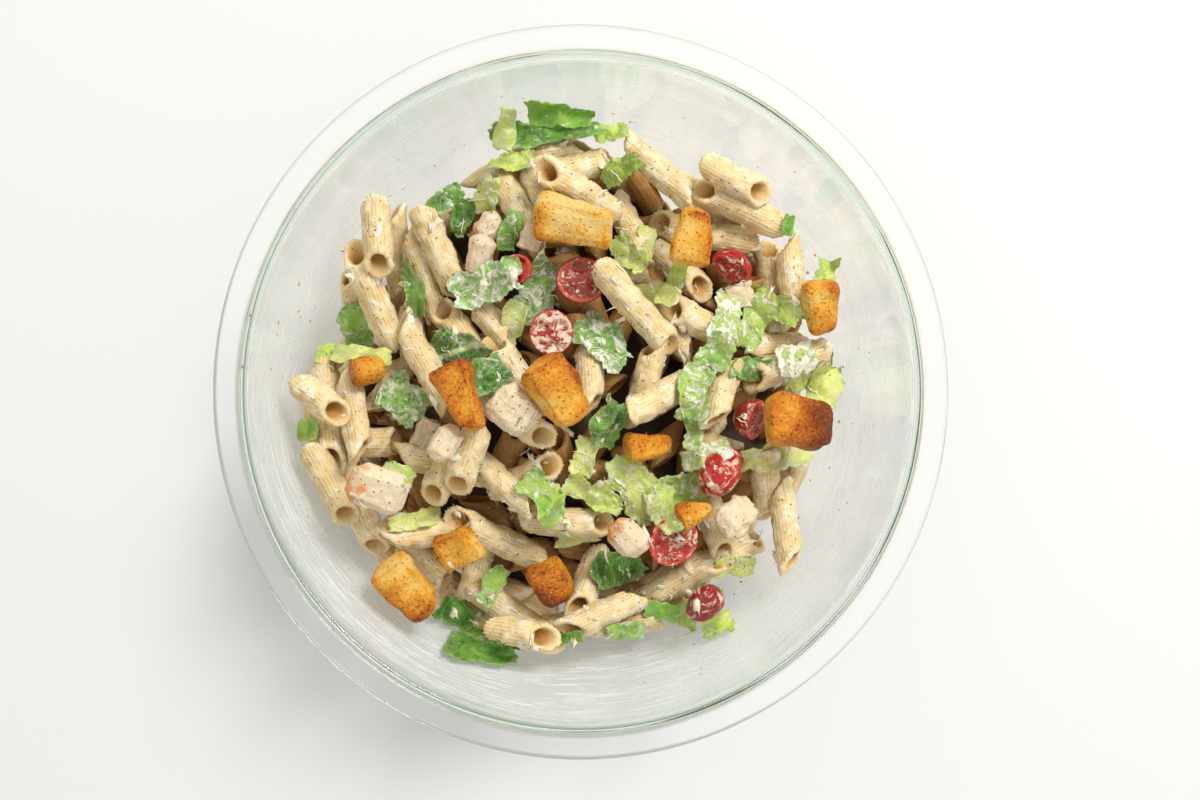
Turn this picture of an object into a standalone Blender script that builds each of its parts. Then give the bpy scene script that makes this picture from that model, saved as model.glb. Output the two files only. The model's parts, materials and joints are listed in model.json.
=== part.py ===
"""A clear glass mixing bowl of creamy pasta salad.

Penne, torn lettuce, halved cherry tomatoes, diced chicken and croutons lie on and in each other. The origin
is the middle of the bowl's foot on the table, +Z is up. Sizes are in millimetres and degrees, and the meshes
are in metres.
"""

import math
import random

import bmesh
import bpy
import numpy as np
from mathutils import Matrix, Vector
from mathutils.bvhtree import BVHTree

MM = 0.001

# The bowl, turned: an elliptic wall from a flat foot to a level rim that turns out into a flange.
BOWL_HEIGHT = 125.0
BOWL_MOUTH_RADIUS = 127.0
RIM_RADIUS = 140.0
FLANGE_THICKNESS = 5.5
WALL_THICKNESS = 4.0
FLOOR_THICKNESS = 6.0
FLOOR_RADIUS = 52.0
CURVE_CENTRE_HEIGHT = 140.0
BOWL_SIDES = 36

# The salad's surface: a dome that meets the glass where the salad ends, higher on the left than on the right.
SALAD_MIDDLE_HEIGHT = 91.0
SALAD_STEEPENS = 2.2
# How far it reaches from the axis, every 15 degrees from +X towards +Y.
SALAD_REACH = (
    106, 112, 111, 109, 108, 111, 114, 116, 110, 111, 113, 114,
    120, 119, 116, 115, 114, 112, 108, 108, 109, 108, 110, 106,
)

# The core under the pieces: how far below the surface it lies, at least and for each millimetre laid over it.
CORE_LEAST_DEPTH = 9.0
CORE_SHARE = 0.92
CORE_BLEND = 8.0
CORE_WALL_GAP = 4.0
CORE_EDGE_GAP = 4.0
CORE_SIDES = 30
CORE_RINGS = (8, 12)

# Clearances.
GAP = 0.4
GLASS_GAP = 1.4
SINK = 2.3
LEAST_SINK = 1.9
FIRM_SHARE = 0.75

# The field of cells over the bowl's mouth in which the height of what lies there is kept.
CELL = 0.5
FIELD_REACH = 134.0
FIELD = int(FIELD_REACH / CELL)

# Penne: a quill of pasta with slanted ends.
PENNE_RADIUS = 6.1
PENNE_WALL = 1.5
PENNE_SLANT = 0.75
PENNE_BORE_DEPTH = 7.0
PENNE_STEEPEST = 33
PENNE_HULL = 6.4
HIGHEST_QUILL = 11.0

# Penne seen in the salad: x, y, heading, length, layer (5 lies on top), open end (1 far, -1 near, 0 none).
PENNE_SEEN = (
    (-2, 81, -29, 40, 4, -1), (0, 92, 20, 36, 3, 1), (-12, 98, 9, 34, 2, 0), (31, 90, -42, 43, 4, 0),
    (-18, 82, -56, 30, 1, 0), (-25, 73, -58, 40, 2, 0), (20, 67, -64, 36, 3, 0), (50, 66, -13, 43, 3, -1),
    (65, 75, -25, 40, 4, -1), (54, 88, -27, 38, 3, 0), (63, 68, -25, 30, 1, 0), (78, 44, -87, 38, 2, -1),
    (89, 44, -87, 38, 2, 0), (19, 49, 3, 30, 2, 1), (41, 50, -42, 30, 3, 1), (46, 29, -28, 30, 3, -1),
    (22, 34, -48, 48, 5, 1), (80, 20, 3, 38, 4, 0), (83, 10, 23, 36, 4, -1), (27, -10, 26, 38, 4, 1),
    (-102, -9, -82, 45, 4, 1), (-91, -8, -76, 42, 4, 0), (-103, -36, -63, 42, 3, -1),
    (-91, -46, -68, 42, 3, 1),
    (-84, 39, -69, 43, 4, -1), (-76, 58, -87, 38, 3, 0), (-56, 57, -68, 40, 4, 1), (-65, 49, -71, 40, 3, 0),
    (-93, 40, -80, 30, 1, 0), (-70, 26, -86, 32, 1, 0), (-48, 22, -53, 36, 2, -1), (-26, 7, -55, 38, 3, -1),
    (-59, 2, -73, 42, 4, 0), (-77, 4, 60, 32, 1, 0), (-107, -12, -41, 28, 1, -1),
    (-84, -20, 2, 26, 2, 1), (-58, -29, -12, 36, 1, 0), (-35, -16, -34, 42, 4, 1), (-23, -34, 24, 30, 2, 1),
    (-32, -36, -38, 36, 3, 0), (-45, -26, 70, 30, 2, -1), (-54, -31, 61, 30, 1, -1),
    (-35, -59, -27, 43, 5, -1),
    (-65, -70, -46, 34, 3, 1), (-66, -57, 7, 34, 4, 0), (-43, -71, 74, 34, 3, 0), (-27, -92, -33, 42, 4, 1),
    (-6, -52, -3, 36, 3, 1), (38, -79, 32, 42, 3, 0), (59, -66, 24, 38, 4, 1), (83, -54, -84, 40, 3, 0),
    (76, -38, -86, 36, 2, 1), (56, -23, -20, 28, 2, 1), (64, -5, 76, 34, 4, 0), (54, -5, 90, 30, 3, 0),
    (54, -54, -71, 32, 3, 1), (2, -78, 70, 32, 3, -1), (8, -90, 22, 38, 4, 0), (-2, -96, 5, 30, 1, 0),
    (18, -96, 4, 36, 1, 0), (38, -91, 3, 30, 1, 0), (3, 8, -86, 36, 2, 0), (26, 4, 79, 36, 2, 0),
    (37, 25, -48, 30, 1, 0), (-37, 29, -51, 30, 1, 0),
)

# More penne in the gaps below those, and a course of them against the glass.
PENNE_BELOW = 8
PENNE_BELOW_LENGTH = 34.0
GLASS_ROWS = ((20.0, 7), (36.0, 12), (50.0, 14), (66.0, 16))

# Croutons: x, y, length, width, thickness, heading, layer.
CROUTONS = (
    (-3, 67, 32, 20, 14, -12, 5), (44, 62, 23, 20, 13, 80, 5), (96, 35, 23, 16, 13, -78, 4),
    (86, -12, 28, 22, 16, -6, 5), (-85, 9, 16, 13, 12, 10, 4), (-46, -2, 29, 18, 13, -65, 5),
    (-10, 1, 30, 21, 15, -57, 5), (27, -22, 21, 14, 11, 4, 5), (-49, -62, 20, 17, 11, 24, 5),
    (-70, -78, 27, 20, 15, -50, 4), (-12, -76, 21, 17, 13, -62, 5), (45, -49, 15, 12, 9, 20, 4),
)
# How much narrower each is at its far end.
CROUTON_TAPERS = (0.15, 0.45, 0.2, 0.1, 0.3, 0.55, 0.25, 0.5, 0.1, 0.25, 0.2, 0.7)

# Halved cherry tomatoes: x, y, length, width, height, heading, tilt of the cut face, layer.
TOMATOES = (
    (-26, 49, 14, 12, 9, 20, 35, 3), (0, 45, 22, 19, 11, 0, 12, 3), (-12, 24, 20, 18, 11, 90, 10, 4),
    (61, 51, 19, 13, 9, -30, 55, 3), (70, -11, 18, 13, 10, 75, 30, 3), (56, -32, 24, 17, 11, 60, 140, 4),
    (37, -60, 23, 20, 12, 50, 24, 4), (50, -86, 19, 13, 11, 32, 130, 4),
)

# Diced chicken: x, y, length, width, thickness, heading, layer.
CHICKEN = (
    (-38, 67, 16, 14, 11, 40, 3), (-41, 55, 21, 12, 10, 75, 3), (-79, -38, 28, 19, 12, -20, 5),
    (-26, -7, 24, 19, 13, -40, 4), (18, -58, 20, 16, 12, -50, 4), (-53, -20, 18, 12, 10, 60, 3),
    (62, -50, 20, 16, 11, 40, 4),
)

# Torn lettuce: x, y, length, width, heading, lift of the frilled edge, layer.
LETTUCE = (
    (-15, 107, 46, 13, 1, 4.0, 3), (-28, 94, 22, 9, 4, 2.5, 3), (-38, 80, 16, 11, 70, 2.0, 3),
    (-49, 73, 17, 10, 75, 2.0, 2), (16, 90, 18, 11, 30, 3.5, 4), (-38, 43, 30, 18, 14, 2.5, 4),
    (-18, 41, 30, 14, 62, 3.0, 3), (9, 21, 27, 18, -45, 2.0, 4), (19, 57, 19, 13, -50, 3.5, 4),
    (30, 40, 20, 9, -10, 2.0, 3), (58, 31, 22, 16, 72, 3.0, 4), (53, 14, 20, 14, 60, 2.5, 4),
    (44, 0, 24, 15, 78, 3.0, 4), (79, 35, 23, 12, -35, 4.0, 3), (93, 10, 25, 15, 50, 4.0, 3),
    (45, -13, 22, 10, 85, 3.0, 3), (22, -39, 30, 20, -60, 3.5, 4), (42, -38, 22, 17, 10, 2.5, 3),
    (-15, -42, 25, 15, -60, 3.0, 4), (5, -41, 26, 13, -25, 4.0, 4), (1, -26, 18, 12, 80, 3.5, 3),
    (11, -12, 22, 15, 70, 2.5, 3), (80, -26, 34, 14, 5, 2.0, 3), (15, -72, 22, 17, 20, 3.5, 3),
    (-36, -79, 17, 11, 60, 4.0, 5), (-36, -99, 28, 12, -20, 3.5, 3), (47, -88, 24, 15, 45, 4.0, 3),
    (-91, 26, 21, 16, 80, 3.0, 3), (-69, 41, 22, 9, -75, 2.5, 3), (-49, 16, 27, 16, -20, 3.0, 3),
    (-72, -3, 22, 18, -40, 2.5, 3),
)
LEAF_THICKNESS = 0.9
LEAF_CELLS = (5, 3)
TOP_LAYER = 5


def start_afresh():
    for thing in list(bpy.data.objects):
        bpy.data.objects.remove(thing, do_unlink=True)
    for group in list(bpy.data.collections):
        bpy.data.collections.remove(group)
    group = bpy.data.collections.new("bowl_of_pasta_salad")
    bpy.context.scene.collection.children.link(group)
    return group


def finish(name, colour, roughness, transmission=0.0):
    material = bpy.data.materials.new(name)
    material.use_nodes = True
    shader = material.node_tree.nodes["Principled BSDF"]
    shader.inputs["Base Color"].default_value = (*colour, 1.0)
    shader.inputs["Roughness"].default_value = roughness
    shader.inputs["Metallic"].default_value = 0.0
    shader.inputs["Transmission Weight"].default_value = transmission
    return material


def place(bm, name, material, group, smooth_below=35):
    """The bmesh, drawn in millimetres, as an object in metres."""
    bmesh.ops.scale(bm, vec=(MM, MM, MM), verts=bm.verts)
    mesh = bpy.data.meshes.new(name)
    bm.to_mesh(mesh)
    bm.free()
    mesh.shade_smooth()
    mesh.set_sharp_from_angle(angle=math.radians(smooth_below))
    mesh.materials.append(material)
    thing = bpy.data.objects.new(name, mesh)
    group.objects.link(thing)
    return thing


# ---- the bowl


def ellipse_part(height, floor):
    """How far the wall has swung out at this height: 0 at the floor, nearly 1 at the rim."""
    down = (CURVE_CENTRE_HEIGHT - height) / (CURVE_CENTRE_HEIGHT - floor)
    return math.sqrt(max(0.0, 1.0 - down * down))


def inner_radius(height):
    reach = (BOWL_MOUTH_RADIUS - FLOOR_RADIUS) / ellipse_part(BOWL_HEIGHT, FLOOR_THICKNESS)
    return FLOOR_RADIUS + reach * ellipse_part(height, FLOOR_THICKNESS)


def outer_radius(height):
    reach = (BOWL_MOUTH_RADIUS - FLOOR_RADIUS) / ellipse_part(BOWL_HEIGHT, 0.0)
    return FLOOR_RADIUS + WALL_THICKNESS + reach * ellipse_part(height, 0.0)


def inner_height(radius):
    """The height of the glass under each point this far from the axis, as an array."""
    reach = (BOWL_MOUTH_RADIUS - FLOOR_RADIUS) / ellipse_part(BOWL_HEIGHT, FLOOR_THICKNESS)
    out = np.clip((radius - FLOOR_RADIUS) / reach, 0.0, 1.0)
    height = CURVE_CENTRE_HEIGHT - (CURVE_CENTRE_HEIGHT - FLOOR_THICKNESS) * np.sqrt(1.0 - out * out)
    return np.where(radius > BOWL_MOUTH_RADIUS, 3.0 * BOWL_HEIGHT, height)


def wall_heights(floor, top, steps):
    """Heights at even turns of the wall's elliptic curve."""
    deep = CURVE_CENTRE_HEIGHT - floor
    swing = math.acos((CURVE_CENTRE_HEIGHT - top) / deep)
    return [CURVE_CENTRE_HEIGHT - deep * math.cos(swing * k / steps) for k in range(steps + 1)]


def bowl_profile():
    """From the middle of the floor inside, up the wall, over the flange and down the outside to the foot."""
    inside = wall_heights(FLOOR_THICKNESS, BOWL_HEIGHT - 1.5, 9)
    profile = [(0.0, FLOOR_THICKNESS)]
    profile += [(inner_radius(height), height) for height in inside]
    profile += [(BOWL_MOUTH_RADIUS + 1.5, BOWL_HEIGHT), (RIM_RADIUS - 2.0, BOWL_HEIGHT)]
    profile += [(RIM_RADIUS, BOWL_HEIGHT - 1.8), (RIM_RADIUS, BOWL_HEIGHT - FLANGE_THICKNESS + 1.8)]
    profile += [(RIM_RADIUS - 2.0, BOWL_HEIGHT - FLANGE_THICKNESS)]
    outside = wall_heights(0.0, BOWL_HEIGHT - FLANGE_THICKNESS - 1.0, 8)
    profile += [(outer_radius(height), height) for height in reversed(outside)]
    return profile + [(0.0, 0.0)]


def make_bowl(material, group):
    mesh = bpy.data.meshes.new("glass_bowl")
    profile = bowl_profile()
    points = [(radius * MM, 0.0, height * MM) for radius, height in profile]
    mesh.from_pydata(points, [(k, k + 1) for k in range(len(points) - 1)], [])
    mesh.materials.append(material)
    bowl = bpy.data.objects.new("glass_bowl", mesh)
    group.objects.link(bowl)
    screw = bowl.modifiers.new("turn", "SCREW")
    screw.steps = BOWL_SIDES
    screw.render_steps = BOWL_SIDES
    screw.use_merge_vertices = True
    screw.merge_threshold = 0.0001
    screw.use_smooth_shade = True
    return bowl


# ---- the salad's surface, as a height over each point


def highest_near(height):
    """Each cell's height, or a higher neighbour's, so that steep sides keep their clearance."""
    padded = np.pad(height, 1, mode="edge")
    rows, columns = height.shape
    shifts = [padded[i : i + rows, j : j + columns] for i in range(3) for j in range(3)]
    return np.maximum.reduce(shifts)


class Relief:
    """What already lies in the bowl: the height of its top over a square field of cells."""

    def __init__(self):
        axis = np.arange(-FIELD, FIELD + 1) * CELL
        self.x, self.y = np.meshgrid(axis, axis, indexing="ij")
        self.other = inner_height(np.hypot(self.x, self.y) + GLASS_GAP)
        self.pasta = np.full(self.x.shape, -1.0)
        self.firm = self.pasta.copy()
        self.spread = self.pasta.copy()

    def window(self, x, y, reach):
        first = [max(0, int((v - reach) / CELL) + FIELD) for v in (x, y)]
        last = [min(2 * FIELD, int((v + reach) / CELL) + FIELD + 1) for v in (x, y)]
        return slice(first[0], last[0] + 1), slice(first[1], last[1] + 1)

    def floor(self, window):
        """The lowest that a piece clear of everything may reach over each cell."""
        return GAP + highest_near(np.maximum(self.spread[window], self.other[window]))

    def scan(self, bm):
        """The underside and the top of a closed shape over each cell, with NaN where it isn't."""
        tree = BVHTree.FromBMesh(bm)
        x = [corner.co.x for corner in bm.verts]
        y = [corner.co.y for corner in bm.verts]
        middle = (max(x) + min(x)) / 2, (max(y) + min(y)) / 2
        window = self.window(*middle, max(max(x) - min(x), max(y) - min(y)) / 2 + CELL)
        across, along = self.x[window], self.y[window]
        low = np.full(across.shape, np.nan)
        high = np.full(across.shape, np.nan)
        for i, j in np.ndindex(across.shape):
            below = tree.ray_cast(Vector((across[i, j], along[i, j], -900)), Vector((0, 0, 1)))
            if below[0] is not None:
                above = tree.ray_cast(Vector((across[i, j], along[i, j], 900)), Vector((0, 0, -1)))
                low[i, j], high[i, j] = below[0].z, above[0].z
        return window, low, high

    def clearance(self, bm):
        """How far the shape has to rise to lie on what is there."""
        window, low, _ = self.scan(bm)
        return float(np.nanmax(self.floor(window) - low))

    def cover(self, bm):
        window, _, high = self.scan(bm)
        self.other[window] = np.fmax(self.other[window], high)

    def cover_pasta(self, bm):
        window, _, high = self.scan(bm)
        for field in (self.pasta, self.firm, self.spread):
            field[window] = np.fmax(field[window], high)

    def cover_quill(self, window, masks, top):
        """A quill's top over its skin, over the middle of its skin and over all it stands on."""
        for field, mask in zip((self.pasta, self.firm, self.spread), masks):
            field[window] = np.where(mask, np.maximum(field[window], top), field[window])


def salad_reach(x, y):
    turn = np.degrees(np.arctan2(y, x)) % 360.0
    return np.interp(turn, np.arange(25) * 15.0, SALAD_REACH + SALAD_REACH[:1])


def surface_height(x, y):
    """The level that the salad's top is heaped to."""
    reach = salad_reach(x, y)
    fall = SALAD_MIDDLE_HEIGHT - inner_height(reach)
    return SALAD_MIDDLE_HEIGHT - fall * np.minimum(np.hypot(x, y) / reach, 1.05) ** SALAD_STEEPENS


def over_box(field_x, field_y, x, y, heading, length, width):
    """Which points of a field lie within a turned rectangle."""
    ahead = (math.cos(math.radians(heading)), math.sin(math.radians(heading)))
    along = (field_x - x) * ahead[0] + (field_y - y) * ahead[1]
    across = (field_y - y) * ahead[0] - (field_x - x) * ahead[1]
    return (np.abs(along) < length / 2) & (np.abs(across) < width / 2)


def core_level(field_x, field_y):
    """The core's height over a field: the surface, less what is laid over each point, smoothed."""
    laid = np.zeros(field_x.shape)
    for x, y, heading, length, _, _ in PENNE_SEEN:
        laid += 2 * PENNE_RADIUS * over_box(field_x, field_y, x, y, heading, length, 2 * PENNE_RADIUS)
    for x, y, length, width, thickness, heading, _ in CROUTONS + CHICKEN:
        laid += thickness * over_box(field_x, field_y, x, y, heading, length, width)
    for x, y, length, width, height, heading, _, _ in TOMATOES:
        laid += height * over_box(field_x, field_y, x, y, heading, length, width)
    reach = np.arange(-3 * CORE_BLEND, 3 * CORE_BLEND + CELL, CELL)
    bell = np.exp(-0.5 * (reach / CORE_BLEND) ** 2)
    for axis in (0, 1):
        laid = np.apply_along_axis(np.convolve, axis, laid, bell / bell.sum(), mode="same")
    return surface_height(field_x, field_y) - CORE_LEAST_DEPTH - CORE_SHARE * laid


def make_core(relief):
    """A ball drawn out to the core. Its lower half follows the glass, its upper half is the pieces' bed."""
    bm = bmesh.new()
    top_rings, rings = CORE_RINGS
    bmesh.ops.create_uvsphere(bm, u_segments=CORE_SIDES, v_segments=rings, radius=1.0)
    level = core_level(relief.x, relief.y)
    low = FLOOR_THICKNESS + GAP

    def height_at(radius, turn):
        column, row = round(radius * math.cos(turn) / CELL), round(radius * math.sin(turn) / CELL)
        return float(level[column + FIELD, row + FIELD])

    for corner in bm.verts:
        turn = math.atan2(corner.co.y, corner.co.x)
        ring = round(math.acos(max(-1.0, min(1.0, corner.co.z))) * rings / math.pi)
        rim_height = 50.0
        for _ in range(30):
            reach = float(salad_reach(math.cos(turn), math.sin(turn)))
            rim = min(inner_radius(rim_height) - CORE_WALL_GAP, reach - CORE_EDGE_GAP)
            rim_height += 0.4 * (height_at(rim, turn) - rim_height)
        if ring <= top_rings:
            radius = rim * ring / top_rings
            height = height_at(radius, turn)
        else:
            height = low + (rim_height - low) * ((rings - ring) / (rings - top_rings)) ** 1.5
            radius = inner_radius(height) - CORE_WALL_GAP if ring < rings else 0.0
        corner.co = Vector((radius * math.cos(turn), radius * math.sin(turn), height))
    bmesh.ops.triangulate(bm, faces=bm.faces)
    return bm


# ---- penne


def penne_mesh(length, sides, open_ends):
    """A quill along +X: a prism with both ends cut on the slant, bored where it shows open."""
    bm = bmesh.new()
    radius = PENNE_RADIUS / math.cos(math.pi / sides) ** 0.5
    bmesh.ops.create_cone(
        bm, cap_ends=True, segments=sides, radius1=radius, radius2=radius,
        depth=length - 2 * PENNE_SLANT * PENNE_RADIUS,
        matrix=Matrix.Rotation(math.radians(90), 4, "Y") @ Matrix.Rotation(math.pi / sides, 4, "Z"),
    )
    for corner in bm.verts:
        corner.co.x += PENNE_SLANT * corner.co.z
    for end in open_ends:
        cap = next(f for f in bm.faces if len(f.verts) == sides and f.normal.x * end > 0.5)
        bmesh.ops.inset_individual(bm, faces=[cap], thickness=PENNE_WALL)
        bmesh.ops.inset_individual(bm, faces=[cap], thickness=0.5)
        for corner in cap.verts:
            corner.co.x -= end * PENNE_BORE_DEPTH
    return bm


def penne_pose(x, y, z, heading, pitch, roll):
    turn = Matrix.Rotation(math.radians(heading), 4, "Z") @ Matrix.Rotation(-math.radians(pitch), 4, "Y")
    return Matrix.Translation((x, y, z)) @ turn @ Matrix.Rotation(math.radians(roll), 4, "X")


def settle_penne(relief, x, y, heading, length, open_end):
    """Where a quill comes to rest: the pitch that brings its middle lowest while it meets other pasta."""
    ahead = (math.cos(math.radians(heading)), math.sin(math.radians(heading)))
    window = relief.window(x, y, length / 2 + PENNE_HULL)
    along = (relief.x[window] - x) * ahead[0] + (relief.y[window] - y) * ahead[1]
    across = (relief.y[window] - y) * ahead[0] - (relief.x[window] - x) * ahead[1]
    bulge = np.sqrt(np.clip(PENNE_HULL**2 - across**2, 0.0, None))
    clear_of = GAP + highest_near(relief.other[window])
    tip = PENNE_SLANT * PENNE_RADIUS
    shift = tip * (open_end or 1)

    def rest(pitch):
        slope = math.tan(math.radians(pitch))
        level, steep = math.cos(math.radians(pitch)), math.sin(math.radians(pitch))
        rise = bulge / level
        lift = rise - slope * along
        beside = np.abs(across) < PENNE_HULL
        near_axis = np.abs(across) < FIRM_SHARE * PENNE_RADIUS
        offset = shift * level + PENNE_RADIUS * steep
        inside = beside & (np.abs(along) < length / 2 * level + PENNE_RADIUS * abs(steep) + 1.0)
        under = np.abs(along - offset) < (length / 2 - tip) * level
        over = beside & (np.abs(along + offset) < (length / 2 - tip) * level)
        on_pasta = float((relief.pasta[window] - SINK + lift)[under & beside].max())
        middle = max(float((clear_of + lift)[inside].max()), on_pasta)
        sunk = float((relief.firm[window] + lift)[under & near_axis].max()) - middle
        whole = beside & (np.abs(along) < length / 2 * level + PENNE_RADIUS * abs(steep))
        cover = (window, (over, over & near_axis, whole), middle + slope * along + rise)
        return sunk < LEAST_SINK, middle, pitch, cover

    pitches = range(-PENNE_STEEPEST, PENNE_STEEPEST + 1, 3)
    coarse = min((rest(pitch) for pitch in pitches), key=lambda r: r[:2])
    fine = [rest(coarse[2] + step / 2) for step in range(-5, 6)]
    loose, middle, pitch, cover = min(fine, key=lambda r: r[:2])
    return middle, pitch, cover, loose


def lay_penne(relief, x, y, heading, length, open_end):
    """Settles a quill, moved or turned a little where it would lie on no pasta or ride too high."""
    tries = []
    for k in range(32):
        away = 0.4 * k
        spot_x, spot_y = x + away * math.cos(2.4 * k), y + away * math.sin(2.4 * k)
        turned = heading + 1.2 * away * math.sin(1.7 * k)
        middle, pitch, cover, loose = settle_penne(relief, spot_x, spot_y, turned, length, open_end)
        excess = max(0.0, middle - float(surface_height(spot_x, spot_y)) - HIGHEST_QUILL)
        tries.append((loose, excess, k, (spot_x, spot_y, middle, turned, pitch), cover))
        if not loose and excess == 0.0:
            break
    loose, _, k, pose, cover = min(tries, key=lambda tried: tried[:3])
    if loose:
        return None
    relief.cover_quill(*cover)
    return pose


def lay_penne_below(relief, rng):
    """Quills at random in the lowest places, each the best of several tries."""
    poses = []
    for _ in range(PENNE_BELOW):
        tries = []
        for _ in range(14):
            turn = rng.uniform(0, 2 * math.pi)
            radius = (float(salad_reach(math.cos(turn), math.sin(turn))) - 12.0) * math.sqrt(rng.random())
            x, y, heading = radius * math.cos(turn), radius * math.sin(turn), rng.uniform(0, 180)
            middle = settle_penne(relief, x, y, heading, PENNE_BELOW_LENGTH, 0)[0]
            tries.append((middle - float(surface_height(x, y)), x, y, heading))
        _, x, y, heading = min(tries)
        poses.append(lay_penne(relief, x, y, heading, PENNE_BELOW_LENGTH, 0))
    return [pose for pose in poses if pose]


def penne_against_glass(rng):
    """Quills in rows round the glass, each slid in until no corner of it is beyond the wall."""
    poses = []
    for row, (height, count) in enumerate(GLASS_ROWS):
        for k in range(count):
            turn = 2 * math.pi * (k + 0.5 * row + rng.uniform(-0.2, 0.2)) / count
            length = rng.uniform(30, 40)
            level = height + rng.uniform(-4, 4)
            room = (level - FLOOR_THICKNESS - 1.5 * PENNE_RADIUS) / (length / 2)
            steepest = math.degrees(math.asin(min(0.85, max(0.0, room))))
            lean = rng.uniform(-steepest, steepest)
            limit = float(inner_height(salad_reach(math.cos(turn), math.sin(turn)))) - PENNE_RADIUS
            if level + length / 2 * abs(math.sin(math.radians(lean))) > limit:
                lean = 8.0
            if level > limit - 3.0:
                continue
            steep = math.degrees(math.atan2(inner_radius(level + 4) - inner_radius(level - 4), 8.0))
            radius = inner_radius(level)
            corners = [corner.co.copy() for corner in penne_mesh(length, 6, ()).verts]
            for _ in range(20):
                pose = Matrix.Rotation(turn, 4, "Z") @ Matrix.Translation((radius, 0, level))
                pose = pose @ Matrix.Rotation(math.radians(steep), 4, "Y")
                pose = pose @ Matrix.Rotation(math.radians(lean), 4, "X")
                pose = pose @ Matrix.Rotation(math.radians(90), 4, "Z")
                radius -= 0.8 * max(beyond_glass(pose @ corner) for corner in corners)
            poses.append((pose, length))
    return poses


def beyond_glass(point):
    """How far a point stands beyond the glass's inner face, less the clearance."""
    height = min(max(point.z, FLOOR_THICKNESS + 0.01), BOWL_HEIGHT)
    outward = math.hypot(point.x, point.y) - inner_radius(height) + GLASS_GAP
    return max(outward, FLOOR_THICKNESS + GLASS_GAP - point.z)


# ---- pieces that lie among the penne


def ground_tilt(relief, x, y, reach, steepest=24):
    """The turn that lays a piece flat on the slope around it."""
    window = relief.window(x, y, reach)
    near = np.hypot(relief.x[window] - x, relief.y[window] - y) < reach
    height = np.maximum(relief.pasta[window], np.minimum(relief.other[window], BOWL_HEIGHT))[near]
    sides = np.stack([relief.x[window][near] - x, relief.y[window][near] - y, np.ones(near.sum())], axis=1)
    slope = np.linalg.lstsq(sides, height, rcond=None)[0]
    normal = Vector((-slope[0], -slope[1], 1.0)).normalized()
    lean = normal.angle(Vector((0, 0, 1)))
    if lean < 1e-3:
        return Matrix.Identity(4)
    axis = Vector((0, 0, 1)).cross(normal)
    return Matrix.Rotation(min(lean, math.radians(steepest)), 4, axis)


def chunk(length, width, thickness, heading, rng, steps, uneven, taper=0.0):
    """A cut block with uneven corners and rounded edges."""
    bm = bmesh.new()
    bmesh.ops.create_cube(bm, size=1.0)
    for corner in bm.verts:
        narrowed = 1 - taper if corner.co.x > 0 else 1
        corner.co.x *= length * rng.uniform(1 - uneven, 1)
        corner.co.y *= width * rng.uniform(1 - uneven, 1) * narrowed
        corner.co.z *= thickness * rng.uniform(1 - uneven, 1)
    rounding = 0.3 * min(thickness, width * (1 - taper))
    bmesh.ops.bevel(
        bm, geom=bm.edges[:], offset=rounding, segments=steps, profile=0.55,
        affect="EDGES", clamp_overlap=True,
    )
    turn = Matrix.Rotation(math.radians(heading), 3, "Z")
    bmesh.ops.rotate(bm, cent=(0, 0, 0), matrix=turn, verts=bm.verts)
    return bm


def half_tomato(length, width, height, heading, tilt):
    """A cherry tomato cut through the middle, its cut face leaning by the tilt."""
    bm = bmesh.new()
    bmesh.ops.create_uvsphere(bm, u_segments=10, v_segments=6, radius=0.5)
    whole = bm.verts[:] + bm.edges[:] + bm.faces[:]
    cut = bmesh.ops.bisect_plane(bm, geom=whole, plane_co=(0, 0, 0.03), plane_no=(0, 0, 1), clear_outer=True)
    rim = [edge for edge in cut["geom_cut"] if isinstance(edge, bmesh.types.BMEdge)]
    bmesh.ops.holes_fill(bm, edges=rim, sides=0)
    bmesh.ops.scale(bm, vec=(length, width, 2 * height), verts=bm.verts)
    pose = Matrix.Rotation(math.radians(heading), 3, "Z") @ Matrix.Rotation(math.radians(tilt), 3, "X")
    bmesh.ops.rotate(bm, cent=(0, 0, 0), matrix=pose, verts=bm.verts)
    return bm


def torn_outline(along, rng):
    """Half the width of a torn leaf, as a share of its widest, from near end (-1) to far end (1)."""
    return (1.0 - 0.45 * abs(along) ** 3) * rng.uniform(0.66, 1.12)


def drape_leaf(relief, x, y, length, width, heading, lift, rng):
    """A wavy sheet laid over what is there. It bridges narrow gaps, and its long edges stand up in frills."""
    columns, rows = LEAF_CELLS
    bm = bmesh.new()
    bmesh.ops.create_grid(bm, x_segments=columns, y_segments=rows, size=1.0)
    turn = Matrix.Rotation(math.radians(heading), 2)
    stations = [-1 + 2 * k / columns for k in range(columns + 1)]
    sweep = [(torn_outline(station, rng), torn_outline(station, rng)) for station in stations]
    bend = rng.uniform(-0.18, 0.18)
    local = []
    for corner in bm.verts:
        along, across = corner.co.x, corner.co.y
        local.append((along, across))
        reach = sweep[round((along + 1) * columns / 2)][across > 0]
        torn = along * (1.0 - 0.12 * rng.random() * abs(along))
        flat = turn @ Vector((torn * length / 2, (across * reach + bend * (1 - along * along)) * width / 2))
        here = Vector((x, y)) + flat
        widest = BOWL_MOUTH_RADIUS - 6.0
        if here.length > widest:
            here *= widest / here.length
        corner.co = Vector((here.x, here.y, 0.0))
    bmesh.ops.triangulate(bm, faces=bm.faces, quad_method="FIXED")
    lay_sheet(relief, bm)
    wave = rng.uniform(0, 2 * math.pi)
    for corner, (along, across) in zip(bm.verts, local):
        frill = 0.5 + 0.5 * math.sin(wave + along * 4.4 + (2.1 if across > 0 else 0.0))
        corner.co.z += lift * frill * abs(across) ** 1.5
    return bm


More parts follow.
